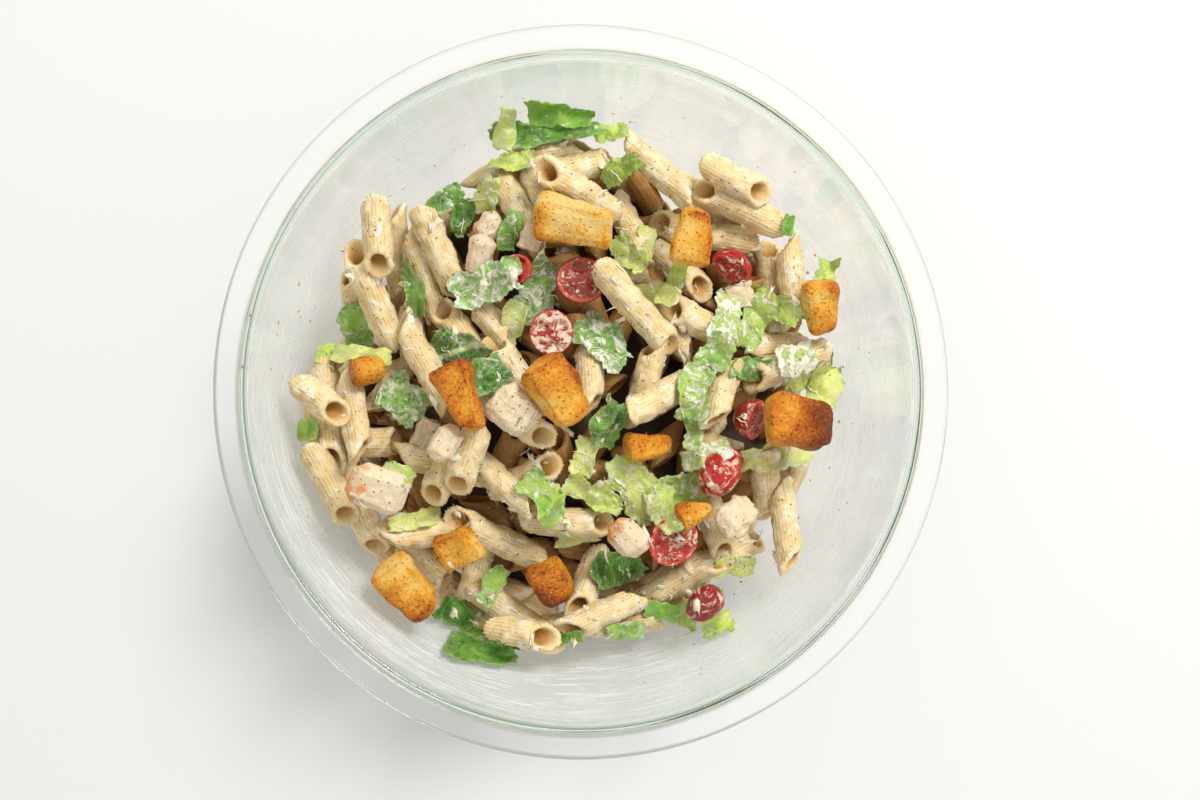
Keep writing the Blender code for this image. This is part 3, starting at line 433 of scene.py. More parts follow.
def bed_level(field_x, field_y):
    """The height of the bed that the pieces lie on: the surface, less what is laid over each point, smoothed."""
    laid = np.zeros(field_x.shape)
    boxes = [(x, y, heading, length, 2 * QUILL_RADIUS, 2 * QUILL_RADIUS) for x, y, heading, length, _, _ in PENNE]
    boxes += [(x, y, heading, length, width, thickness) for x, y, length, width, thickness, heading in BLOCKS]
    for x, y, heading, length, width, thickness in boxes:
        along, across = along_and_across(field_x, field_y, x, y, heading)
        laid += thickness * ((np.abs(along) < length / 2) & (np.abs(across) < width / 2))
    return surface_height(field_x, field_y) - BED_DEPTH - BED_SHARE * smoothed(laid, BED_BLEND)


def make_bed(relief):
    """A ball drawn out to the bed: its lower half follows the glass, its upper half carries the pieces."""
    bm = bmesh.new()
    bmesh.ops.create_uvsphere(bm, u_segments=BED_SIDES, v_segments=BED_RINGS, radius=1.0)
    level = bed_level(relief.x, relief.y)
    low = FLOOR + GAP
    for corner in bm.verts:
        turn = math.atan2(corner.co.y, corner.co.x)
        ring = round(math.acos(max(-1.0, min(1.0, corner.co.z))) * BED_RINGS / math.pi)
        rim_height = RIM_FROM
        for _ in range(RIM_STEPS):
            rim = min(inner_radius(rim_height), reach_towards(turn)) - BED_GAP
            rim_height += RIM_STEP * (value_at(level, rim * math.cos(turn), rim * math.sin(turn)) - rim_height)
        if ring <= BED_TOP_RINGS:
            radius = rim * ring / BED_TOP_RINGS
            height = value_at(level, radius * math.cos(turn), radius * math.sin(turn))
        else:
            share = (BED_RINGS - ring) / (BED_RINGS - BED_TOP_RINGS)
            height = low + (rim_height - low) * share**BED_FLARE
            radius = inner_radius(height) - BED_GAP if ring < BED_RINGS else 0.0
        corner.co = Vector((radius * math.cos(turn), radius * math.sin(turn), height))
    bmesh.ops.triangulate(bm, faces=bm.faces)
    return bm


def quill_pose(x, y, z, heading, pitch, roll):
    turn = Matrix.Rotation(math.radians(heading), 4, "Z") @ Matrix.Rotation(-math.radians(pitch), 4, "Y")
    return Matrix.Translation((x, y, z)) @ turn @ Matrix.Rotation(math.radians(roll), 4, "X")


def settle(relief, x, y, heading, length, open_end):
    """Where a quill comes to rest: the pitch that brings its middle lowest while it meets other pasta."""
    window = relief.window(x, y, length / 2 + QUILL_HULL)
    along, across = along_and_across(relief.x[window], relief.y[window], x, y, heading)
    bulge = np.sqrt(np.clip(QUILL_HULL**2 - across**2, 0.0, None))
    clear_of = GAP + highest_near(relief.other[window])
    tip = QUILL_SLANT * QUILL_RADIUS
    shift = tip * (open_end or 1)

    def rest(pitch):
        slope = math.tan(math.radians(pitch))
        level, steep = math.cos(math.radians(pitch)), math.sin(math.radians(pitch))
        rise = bulge / level
        lift = rise - slope * along
        beside = np.abs(across) < QUILL_HULL
        near_axis = np.abs(across) < FIRM_SHARE * QUILL_RADIUS
        offset = shift * level + QUILL_RADIUS * steep
        inside = beside & (np.abs(along) < length / 2 * level + QUILL_RADIUS * abs(steep) + END_ROOM)
        under = np.abs(along - offset) < (length / 2 - tip) * level
        over = beside & (np.abs(along + offset) < (length / 2 - tip) * level)
        on_pasta = float((relief.pasta[window] - SINK + lift)[under & beside].max())
        middle = max(float((clear_of + lift)[inside].max()), on_pasta)
        sunk = float((relief.firm[window] + lift)[under & near_axis].max()) - middle
        return sunk < LEAST_SINK, middle, pitch, (window, (over, over & near_axis), middle + slope * along + rise)

    coarse = min((rest(pitch) for pitch in range(-STEEPEST, STEEPEST + 1, PITCH_STEP)), key=lambda r: r[:2])
    fine = [rest(coarse[2] + step / 2) for step in range(-5, 6)]
    return min(fine, key=lambda r: r[:2])


def lay_quill(relief, x, y, heading, length, open_end):
    """Settles a quill, moved or turned a little where it would lie on no pasta or ride too high."""
    tries = []
    for k in range(NUDGES):
        away = NUDGE * k
        spot = x + away * math.cos(SPIRAL * k), y + away * math.sin(SPIRAL * k)
        turned = heading + NUDGE_TURN * away * math.sin(WOBBLE * k)
        loose, middle, pitch, cover = settle(relief, *spot, turned, length, open_end)
        excess = max(0.0, middle - float(surface_height(*spot)) - HIGHEST)
        tries.append((loose, excess, k, (*spot, middle, turned, pitch), cover))
        if not loose and excess == 0.0:
            break
    loose, _, _, pose, cover = min(tries, key=lambda tried: tried[:3])
    if loose:
        return None
    relief.cover_quill(cover)
    return pose


def quills_below(relief, rng):
    """A few quills where the pieces that show leave the bed bare, each in the lowest of its tries."""
    poses = []
    for _ in range(PENNE_BELOW):
        tries = []
        for _ in range(BELOW_TRIES):
            x, y = spot_at_random(rng, BELOW_MARGIN)
            heading = rng.uniform(0, 180)
            middle = settle(relief, x, y, heading, PENNE_BELOW_LENGTH, 0)[1]
            tries.append((middle - float(surface_height(x, y)), x, y, heading))
        poses.append(lay_quill(relief, *min(tries)[1:], PENNE_BELOW_LENGTH, 0))
    return [pose for pose in poses if pose]


def plain_quill(length, sides):
    """A quill's outer shape along +X, for what lies on it."""
    bm = bmesh.new()
    radius = QUILL_RADIUS / math.cos(math.pi / sides) ** 0.5
    bmesh.ops.create_cone(
        bm, cap_ends=True, segments=sides, radius1=radius, radius2=radius,
        depth=length - 2 * QUILL_SLANT * QUILL_RADIUS,
        matrix=Matrix.Rotation(math.radians(90), 4, "Y") @ Matrix.Rotation(math.pi / sides, 4, "Z"),
    )
    for corner in bm.verts:
        corner.co.x += QUILL_SLANT * corner.co.z
    return bm


def beyond_glass(point):
    height = min(max(point.z, JUST_ABOVE_FLOOR), BOWL_HEIGHT)
    return max(math.hypot(point.x, point.y) - inner_radius(height) + GLASS_GAP, FLOOR + GLASS_GAP - point.z)


def wall_lean(level):
    """How far the wall leans out from upright at this height, in radians."""
    return math.atan2(inner_radius(level + 4) - inner_radius(level - 4), 8.0)


def pose_on_wall(turn, radius, level, lean):
    """A quill lying along the wall on this side, tipped by its lean in degrees."""
    pose = Matrix.Rotation(turn, 4, "Z") @ Matrix.Translation((radius, 0, level))
    pose = pose @ Matrix.Rotation(wall_lean(level), 4, "Y") @ Matrix.Rotation(math.radians(lean), 4, "X")
    return pose @ Matrix.Rotation(math.radians(90), 4, "Z")


def quills_at_glass(rng):
    """Quills in rows round the glass, each slid in until no corner of it is beyond the wall."""
    laid = []
    for row, (height, count) in enumerate(GLASS_ROWS):
        for k in range(count):
            turn = 2 * math.pi * (k + 0.5 * row + rng.uniform(-ROW_UNEVEN, ROW_UNEVEN)) / count
            length = rng.uniform(*ROW_LENGTHS)
            level = height + rng.uniform(-ROW_LIFT, ROW_LIFT)
            room = (level - FLOOR - 1.5 * QUILL_RADIUS) / (length / 2)
            steepest = math.degrees(math.asin(min(ROW_STEEPEST, max(0.0, room))))
            lean = rng.uniform(-steepest, steepest)
            limit = meets_glass(turn) - QUILL_RADIUS
            if level + length / 2 * abs(math.sin(math.radians(lean))) > limit:
                lean = ROW_LEAN
            if level > limit - ROW_BELOW_TOP:
                continue
            radius = inner_radius(level)
            corners = [corner.co.copy() for corner in plain_quill(length, 6).verts]
            for _ in range(SLIDES):
                pose = pose_on_wall(turn, radius, level, lean)
                radius -= SLIDE * max(beyond_glass(pose @ corner) for corner in corners)
            laid.append((pose, length, 2))
    return laid


def quills_through_glass(laid):
    """More quills at the glass, at random, each kept only where it clears the ones that are already there."""
    rng = random.Random(17)
    steps = [k / SIDE_MARKS - 0.5 for k in range(SIDE_MARKS + 1)]

    def axis_of(pose, length):
        return [pose @ Vector(((length - QUILL_RADIUS) * step, 0, 0)) for step in steps]

    taken = np.array([point for pose, length, _ in laid for point in axis_of(pose, length)])
    found = []
    for k in range(SIDE_TRIES):
        inward = SIDE_LAYERS[2 * k // SIDE_TRIES]
        turn, length = rng.uniform(0, 2 * math.pi), rng.uniform(*SIDE_LENGTHS)
        limit = meets_glass(turn) - SIDE_BELOW_TOP
        level = SIDE_LOWEST + (limit - SIDE_LOWEST) * math.sqrt(rng.random())
        lean = rng.uniform(-SIDE_LEANS[0], SIDE_LEANS[0])
        rise = length / 2 * abs(math.sin(math.radians(lean)))
        if level - rise < SIDE_LOWEST - 2 or level + rise > limit + 3:
            lean = rng.uniform(-SIDE_LEANS[1], SIDE_LEANS[1])
        sag = (length / 2) ** 2 * math.cos(math.radians(lean)) ** 2 / (2 * inner_radius(level))
        radius = inner_radius(level) - (DRAWN_RADIUS + SIDE_OFF_GLASS) / math.cos(wall_lean(level)) - sag - inward
        pose = pose_on_wall(turn, radius, level, lean)
        axis = np.array(axis_of(pose, length))
        if np.linalg.norm(axis[:, None] - taken[None], axis=2).min() > SIDE_APART:
            taken = np.concatenate((taken, axis))
            found.append((pose @ Matrix.Rotation(rng.uniform(0, 2 * math.pi), 4, "X"), length, 2))
    return found


def lay_all_quills():
    """The bed, and each quill's pose, length and part (0 under, 1 on top, 2 at the glass), as they were laid."""
    relief = Relief()
    rng = random.Random(4)
    bed = make_bed(relief)
    relief.cover_pasta(bed)
    laid = quills_at_glass(rng)
    for pose, length, _ in laid:
        quill = plain_quill(length, 6)
        bmesh.ops.transform(quill, matrix=pose, verts=quill.verts)
        relief.cover_pasta(quill)
    laid += [(quill_pose(*pose, 180), PENNE_BELOW_LENGTH, 0) for pose in quills_below(relief, rng)]
    for layer in range(1, 6):
        for k, (x, y, heading, length, level, open_end) in enumerate(PENNE):
            pose = lay_quill(relief, x, y, heading, length, open_end) if level == layer else None
            if pose:
                roll = 90 + 90 * open_end + random.Random(k).uniform(-24, 24)
                laid.append((quill_pose(*pose, roll), length * DRAWN_LONGER, 1))
        for group, layers in TOPPING_LAYERS.items():
            for k, level in enumerate(layers):
                if level == layer:
                    relief.cover_topping(frame["nodes"][group.format(k + 1)].data)
    for x, y, heading, length in RIM_PENNE:
        _, middle, pitch, cover = settle(relief, x, y, heading, length, 0)
        relief.cover_quill(cover, fields=1)
        laid.append((quill_pose(x, y, middle, heading, pitch, 180), length, 1))
    return relief, bed, laid


def fill_mass(bed):
    """Quills at random from the lowered bed up to where those that show begin, each in the lowest of its tries."""
    mass = Relief()
    rng = random.Random(21)
    for corner in bed.verts:
        if corner.co.z > MASS_FROM_HEIGHT:
            inward = 1 - MASS_GAP / max(MASS_GAP, math.hypot(corner.co.x, corner.co.y))
            corner.co = Vector((corner.co.x * inward, corner.co.y * inward, corner.co.z - MASS_DEPTH))
    mass.cover_pasta(bed)
    level = bed_level(mass.x, mass.y)
    laid = []
    for _ in range(MASS_QUILLS):
        tries = []
        for _ in range(MASS_TRIES):
            x, y = spot_at_random(rng, MASS_MARGIN)
            heading, length = rng.uniform(0, 180), rng.uniform(*MASS_LENGTHS)
            _, middle, pitch, cover = settle(mass, x, y, heading, length, 0)
            tries.append((middle - value_at(level, x, y), length, (x, y, middle, heading, pitch), cover))
        above, length, pose, cover = min(tries, key=lambda tried: tried[0])
        if above <= MASS_TOP:
            mass.cover_quill(cover)
            laid.append((quill_pose(*pose, rng.uniform(0, 360)), length, 0))
    return laid


relief, bed, laid_quills = lay_all_quills()
laid_quills += quills_through_glass([laid for laid in laid_quills if laid[2] == 2]) + fill_mass(bed)


def finished_mesh(bm, name, material=None):
    """A working mesh in millimetres as a mesh in metres."""
    bmesh.ops.scale(bm, vec=(MM, MM, MM), verts=bm.verts)
    mesh = bpy.data.meshes.new(name)
    bm.to_mesh(mesh)
    bm.free()
    if material:
        mesh.materials.append(material)
    return mesh


def stitched(bm, rings):
    """Smooth faces between each ring of corners and the next."""
    for near, far in zip(rings, rings[1:]):
        for k in range(len(near)):
            bm.faces.new((near[k], near[k - 1], far[k - 1], far[k])).smooth = True


# A quill's rounded lip: how long it is and how far in, as a share of the wall. Then how the quill is flattened.
LIP, LIP_INWARD, WIDER, FLATTER, PINCHED = 0.5, 0.4, 1.03, 0.97, 0.06


def ridged_quill(name, length, sides, stations, bore_stations, bend, material):
    """A quill as it really is: a tube with slanted, rounded ends, ridges outside and a bore right through."""
    bm = bmesh.new()
    bore, groove = (bm.verts.layers.float.new(layer) for layer in ("bore", "groove"))
    half, hollow = length / 2 - DRAWN_SLANT * DRAWN_RADIUS, DRAWN_RADIUS - DRAWN_WALL
    lip = DRAWN_RADIUS - LIP_INWARD * DRAWN_WALL
    outline = [(half * (2 * k / stations - 1), DRAWN_RADIUS, 0.0, 1.0) for k in range(1, stations)]
    outline += [(half - LIP, DRAWN_RADIUS, 0.0, 0.6), (half, lip, 0.05, 0.0), (half - LIP, hollow + 0.15, 0.5, 0.0)]
    outline += [(half * (1 - 2 * k / bore_stations), hollow, 1.0, 0.0) for k in range(1, bore_stations)]
    outline += [(LIP - half, hollow + 0.15, 0.5, 0.0), (-half, lip, 0.05, 0.0), (LIP - half, DRAWN_RADIUS, 0.0, 0.6)]
    rings = []
    for x, radius, inward, ridged in outline:
        ring = []
        for k in range(sides):
            turn = 2 * math.pi * (k + 0.5) / sides
            out = radius + RIDGE_HEIGHT * (1 if k % 2 else -1) * ridged
            y, z = out * math.cos(turn) * WIDER, out * math.sin(turn) * (FLATTER - PINCHED * (x / half) ** 2)
            corner = bm.verts.new((x + DRAWN_SLANT * z, y + bend * (1 - (x / half) ** 2), z))
            corner[bore], corner[groove] = inward, ridged * (1 - k % 2)
            ring.append(corner)
        rings.append(ring)
    stitched(bm, rings + rings[:1])
    bmesh.ops.recalc_face_normals(bm, faces=bm.faces)
    return bpy.data.objects.new(name, finished_mesh(bm, name, material))


def kinds_of(name, things):
    """A collection of kinds of one thing, out of sight, in the order of their names."""
    group = bpy.data.collections.new(name)
    for thing in things:
        group.objects.link(thing)
    return group


def drop_kinds(group):
    for kind in list(group.objects):
        bpy.data.objects.remove(kind)
    bpy.data.collections.remove(group)


# The lengths of the quills that show, and of the plainer ones below and at the glass, and the plainer ones' ridges.
SEEN_LENGTHS, PLAIN_LENGTHS, PLAIN_RIDGES = (30.0, 34.0, 38.0, 42.0, 45.0, 48.0, 53.0), (28.0, 32.0, 37.0), 15


def quill_kinds(material):
    """One quill of each length, first those that show, then the plainer ones."""
    seen = [
        ridged_quill(f"quill_{k}", length, 2 * RIDGES, 16, 5, 0.5 * math.sin(2.3 * k), material)
        for k, length in enumerate(SEEN_LENGTHS)
    ]
    return kinds_of("quill_kinds", seen + [
        ridged_quill(f"quill_{k + len(seen)}", length, 2 * PLAIN_RIDGES, 4, 2, 0.5 - 0.5 * k, material)
        for k, length in enumerate(PLAIN_LENGTHS)
    ])


def places_for(name, spots):
    """A vertex for each thing to be set down: where it lies, its turn, its kind and its size."""
    mesh = bpy.data.meshes.new(name)
    mesh.from_pydata([place for place, _, _, _ in spots], [], [])
    turns = [value for _, turn, _, _ in spots for value in turn]
    sizes = [value for _, _, _, size in spots for value in size]
    mesh.attributes.new("turn", "FLOAT_VECTOR", "POINT").data.foreach_set("vector", turns)
    mesh.attributes.new("size", "FLOAT_VECTOR", "POINT").data.foreach_set("vector", sizes)
    mesh.attributes.new("kind", "INT", "POINT").data.foreach_set("value", [kind for _, _, kind, _ in spots])
    return into_scene(name, mesh)


def quill_places(laid, part):
    """A place for each quill of one part, with the kind nearest to its length, drawn out to that length."""
    lengths, first = (SEEN_LENGTHS, 0) if part == 1 else (PLAIN_LENGTHS, len(SEEN_LENGTHS))
    spots = []
    for pose, length, own in laid:
        if own == part:
            k = min(range(len(lengths)), key=lambda n: abs(lengths[n] - length))
            spots.append((pose.translation * MM, pose.to_euler(), first + k, (length / lengths[k], 1.0, 1.0)))
    return places_for("quill_places", spots)


def tree_with(name, **sockets):
    """An empty Geometry Nodes tree with named inputs and their values, and its two ends."""
    tree = bpy.data.node_groups.new(name, "GeometryNodeTree")
    tree.interface.new_socket("Geometry", in_out="INPUT", socket_type="NodeSocketGeometry")
    for label, given in sockets.items():
        kind = given if isinstance(given, str) else "Float"
        made = tree.interface.new_socket(label.replace("_", " "), in_out="INPUT", socket_type=f"NodeSocket{kind}")
        if kind == "Float":
            made.default_value = given
    tree.interface.new_socket("Geometry", in_out="OUTPUT", socket_type="NodeSocketGeometry")
    return tree, tree.nodes.new("NodeGroupInput").outputs, tree.nodes.new("NodeGroupOutput").inputs


def run_tree(thing, tree, name, **values):
    """Puts the tree on the object with these inputs and returns the mesh that it makes."""
    grown = thing.modifiers.new("grow", "NODES")
    grown.node_group = tree
    for socket in tree.interface.items_tree:
        key = socket.name.replace(" ", "_").lower()
        if socket.in_out == "INPUT" and key in values:
            grown[socket.identifier] = values[key]
    return applied(thing, name)


def named(tree, kind, name):
    return add(tree, "GeometryNodeInputNamedAttribute", {"Name": name}, data_type=kind).outputs["Attribute"]


def stored(tree, geometry, name, value):
    return add(tree, "GeometryNodeStoreNamedAttribute", {
        "Geometry": geometry, "Name": name, "Value": value,
    }, data_type="FLOAT", domain="POINT").outputs[0]


def laid_copies(tree, given):
    """One of the kinds at each point, turned and sized as the point says, as one mesh."""
    kinds = add(tree, "GeometryNodeCollectionInfo", {
        "Collection": given["Kinds"], "Separate Children": True, "Reset Children": True,
    })
    turn = add(tree, "FunctionNodeEulerToRotation", {0: named(tree, "FLOAT_VECTOR", "turn")})
    copies = add(tree, "GeometryNodeInstanceOnPoints", {
        "Points": given["Geometry"], "Instance": kinds.outputs["Instances"], "Pick Instance": True,
        "Instance Index": named(tree, "INT", "kind"), "Rotation": turn.outputs[0],
        "Scale": named(tree, "FLOAT_VECTOR", "size"),
    })
    return add(tree, "GeometryNodeRealizeInstances", {"Geometry": copies.outputs[0]}).outputs[0]


def moved_and_painted(tree, given, result, geometry, offset, **kept):
    """Shifts the surface by this much, keeps these values on it and gives it its material."""
    shape = add(tree, "GeometryNodeSetPosition", {"Geometry": geometry, "Offset": offset}).outputs[0]
    for name, value in kept.items():
        shape = stored(tree, shape, name, value)
    painted = add(tree, "GeometryNodeSetMaterial", {"Geometry": shape, "Material": given["Material"]})
    tree.links.new(painted.outputs[0], result[0])


def quill_tree():
    """Sets a quill of its kind at each point, then swells the coat of dressing on it unevenly."""
    tree, given, result = tree_with(
        "lay_quills", Kinds="Collection", Coat_Depth=0.0009, Patch_Size=0.0055, Seed=4.0, Shade=0.0,
        Material="Material"
    )
    quills = laid_copies(tree, given)
    patches = add(tree, "ShaderNodeTexNoise", {
        "Vector": add(tree, "GeometryNodeInputPosition").outputs[0], "W": given["Seed"],
        "Scale": maths(tree, "DIVIDE", 1.0, given["Patch Size"]), "Detail": 3.0, "Roughness": 0.62,
    }, noise_dimensions="4D")
    coat = carried(tree, patches.outputs[0], 0.44, 0.62, kind="SMOOTHSTEP")
    coated = maths(tree, "MULTIPLY", coat, maths(tree, "SUBTRACT", 1.0, named(tree, "FLOAT", "bore")))
    depth = maths(tree, "MULTIPLY", coated, given["Coat Depth"])
    swell = vectors(tree, "SCALE", add(tree, "GeometryNodeInputNormal").outputs[0], Scale=depth)
    # The shade value kept here gives deeper quills painted shade in their material.
    moved_and_painted(tree, given, result, quills, swell, coat=coated, shade=given["Shade"])
    return tree


def shader_group(name, inputs, outputs):
    """An empty shader group with these sockets, and its two ends. A colour is given as four values."""
    group = bpy.data.node_groups.new(name, "ShaderNodeTree")
    group.interface.new_socket("Vector", in_out="INPUT", socket_type="NodeSocketVector")
    for label, value in inputs.items():
        kind = "NodeSocketFloat" if isinstance(value, float) else "NodeSocketColor"
        group.interface.new_socket(label, in_out="INPUT", socket_type=kind).default_value = value
    for label in outputs:
        kind = "NodeSocketColor" if label == "Colour" else "NodeSocketFloat"
        group.interface.new_socket(label, in_out="OUTPUT", socket_type=kind)
    return group, group.nodes.new("NodeGroupInput").outputs, group.nodes.new("NodeGroupOutput").inputs


def pepper_group():
    """Ground pepper: a speck wherever the surface passes near one of a cloud of points."""
    group, given, result = shader_group(
        "pepper", {"Per Metre": 260.0, "Size": 0.09, "Colour": (0.8, 0.8, 0.8, 1)}, ("Colour",)
    )
    cloud = add(group, "ShaderNodeTexVoronoi", {"Vector": given["Vector"], "Scale": given["Per Metre"]}).outputs
    ragged = maths(group, "MULTIPLY_ADD", mottling(group, given["Vector"], 1900.0, 1.0), 0.12, -0.06)
    speck = maths(group, "LESS_THAN", maths(group, "ADD", cloud["Distance"], ragged), given["Size"])
    tone = mixed(group, cloud["Color"], (0.012, 0.010, 0.008), (0.16, 0.085, 0.035))
    group.links.new(mixed(group, speck, given["Colour"], tone), result["Colour"])
    return group


def dressing_group():
    """Creamy dressing smeared over a piece: where it lies, how thick, and its own slightly uneven colour."""
    group, given, result = shader_group(
        "dressing",
        {"Colour": (0.5, 0.5, 0.5, 1), "Dressing": (0.86, 0.77, 0.60, 1), "Per Metre": 300.0, "Amount": 0.5,
         "Softness": 0.12},
        ("Colour", "Cover"),
    )
    smear = mottling(group, given["Vector"], given["Per Metre"], 5.0, Roughness=0.66, Distortion=1.4)
    start = maths(group, "SUBTRACT", 1.0, given["Amount"])
    cover = carried(group, smear, start, maths(group, "ADD", start, given["Softness"]), kind="SMOOTHSTEP")
    group.links.new(mixed(group, cover, given["Colour"], given["Dressing"]), result["Colour"])
    group.links.new(cover, result["Cover"])
    return group


pepper = pepper_group()
dressing = dressing_group()


def dressed(tree, place, colour, tone, per_metre, amount, softness):
    """The surface with dressing of this tone smeared over it, and where the dressing lies."""
    smeared = add(tree, "ShaderNodeGroup", {
        "Vector": place, "Colour": colour, "Dressing": (*tone, 1), "Per Metre": per_metre, "Amount": amount,
        "Softness": softness,
    }, node_tree=dressing).outputs
    return smeared["Colour"], smeared["Cover"]


def peppered(tree, shader, place, colour, per_metre, size):
    """The surface's colour with pepper over it, on the shader."""
    made = add(tree, "ShaderNodeGroup", {
        "Vector": place, "Colour": colour, "Per Metre": per_metre, "Size": size,
    }, node_tree=pepper)
    tree.links.new(made.outputs["Colour"], shader.inputs["Base Color"])


def attribute(tree, name):
    return add(tree, "ShaderNodeAttribute", attribute_name=name, attribute_type="GEOMETRY").outputs


def dressed_pasta():
    """Cooked durum wheat, yellower in its grooves and painted darker there for the shade in them, under a ragged cream
    coat with pepper. The bore is painted a dark golden brown for the shade inside it, and deeper quills are given
    painted shade.
    """
    material, tree, shader, place = start_material("dressed_pasta", Specular_IOR_Level=0.3)
    wheat = mixed(tree, mottling(tree, place, 55.0, 3.0), (0.80, 0.56, 0.21), (0.92, 0.75, 0.42))
    # Painted shade in part: the grooves are mixed towards a dark orange-brown, for bare yellow wheat and for the shade
    # in them.
    painted_groove_shade = maths(tree, "MULTIPLY", attribute(tree, "groove")["Fac"], 0.50)
    thick = maths(tree, "MULTIPLY", attribute(tree, "coat")["Fac"], 0.75)
    creamed = mixed(tree, thick, mixed(tree, painted_groove_shade, wheat, (0.48, 0.28, 0.07)), (0.93, 0.80, 0.50))
    smeared, cover = dressed(tree, place, creamed, (0.97, 0.91, 0.75), 140.0, 0.52, 0.24)
    # Painted shade: the inside of the bore is coloured a dark golden brown for the shade that falls in it.
    painted_bore_shade = mixed(tree, attribute(tree, "bore")["Fac"], smeared, (0.52, 0.27, 0.060))
    # Painted shade: deeper quills are multiplied towards brown by their shade value.
    sunk = mixed(tree, attribute(tree, "shade")["Fac"], painted_bore_shade, (0.50, 0.28, 0.08), blend_type="MULTIPLY")
    peppered(tree, shader, place, sunk, 330.0, 0.095)
    tree.links.new(carried(tree, cover, 0.0, 1.0, 0.44, 0.32), shader.inputs["Roughness"])
    grain = mottling(tree, place, 620.0, 3.0, Roughness=0.6)
    raised(tree, shader, maths(tree, "MULTIPLY_ADD", grain, 0.8, cover), 0.5, 0.0006)
    return material


def bed_of_pasta():
    """The mass of pasta and dressing under the pieces: near-black painted shade where it shows in the gaps from above,
    creamier behind the glass.
    """
    material, tree, shader, place = start_material("salad_below", Roughness=0.6)
    lumps = mottling(tree, place, 110.0, 4.0)
    # Painted shade: the near-black tones stand for the deep shade between the pieces.
    shade = mixed(tree, lumps, (0.016, 0.008, 0.002), (0.10, 0.052, 0.014))
    cream = mixed(tree, lumps, (0.26, 0.15, 0.045), (0.72, 0.55, 0.30))
    seen = mixed(tree, attribute(tree, "outside")["Fac"], shade, cream)
    tree.links.new(seen, shader.inputs["Base Color"])
    raised(tree, shader, lumps, 0.8, 0.002)
    return material


# How far the bed is drawn in behind the glass, over what distance, and below what height it faces the foot.
BED_DRAWN_IN, DRAWN_FROM, DRAWN_OVER, FOOT_SEEN, FOOT_OVER = 5.0, 16.0, 8.0, 14.0, 6.0
# How far its top is lowered, how high and how fine its lumps are, and from what height up it has them.
BED_LOWERED, LUMPS, LUMP_FINENESS, LUMPS_ABOVE = 0.6, 0.9, 0.12, 40


def bed_mesh(bm):
    """The bed, rounded, made uneven and drawn in from the glass, with a mask of what faces it."""
    bmesh.ops.subdivide_edges(bm, edges=bm.edges, cuts=1, use_grid_fill=True, smooth=0.4)
    outside = bm.verts.layers.float.new("outside")
    for corner in bm.verts:
        out = math.hypot(corner.co.x, corner.co.y)
        wall = inner_radius(min(max(corner.co.z, JUST_ABOVE_FLOOR), 100.0))
        near = min(1.0, max(0.0, (out - wall + DRAWN_FROM) / DRAWN_OVER))
        corner[outside] = max(near, min(1.0, max(0.0, (FOOT_SEEN - corner.co.z) / FOOT_OVER)))
        inward = 1 - near * BED_DRAWN_IN / max(BED_DRAWN_IN, out)
        corner.co = Vector((corner.co.x * inward, corner.co.y * inward, corner.co.z))
        lumps = LUMPS * (1 + noise.noise(corner.co * LUMP_FINENESS)) * (corner.co.z > LUMPS_ABOVE)
        corner.co.z -= BED_LOWERED + lumps
    for face in bm.faces:
        face.smooth = True
    return finished_mesh(bm, "salad_below")


pasta_skin = dressed_pasta()
kinds = quill_kinds(pasta_skin)
quills = quill_tree()
# The parts differ in painted shade: none on top, most on the quills underneath and a little on those at the glass.
for part, name, look in (
    (1, "penne_on_top", {}),
    (0, "penne_under", {"coat_depth": 0.0003, "seed": 9.0, "shade": 0.85}),
    (2, "penne_at_glass", {"coat_depth": 0.0004, "seed": 6.0, "shade": 0.1}),
):
    penne = run_tree(quill_places(laid_quills, part), quills, name, kinds=kinds, material=pasta_skin, **look)
    keep_piece(name, penne, ["pasta_heap"])
keep_piece("salad_below", bed_mesh(bed), ["pasta_heap"], bed_of_pasta())
drop_kinds(kinds)

# ---------------------------------------------------------------- lettuce
# Torn leaves of green lettuce, thin and limp, with pale ribs, ruffled edges and dressing caught in their
# wrinkles. Each lies along its solid, which gives the sheet's course; the ruffles and veins are added to it.

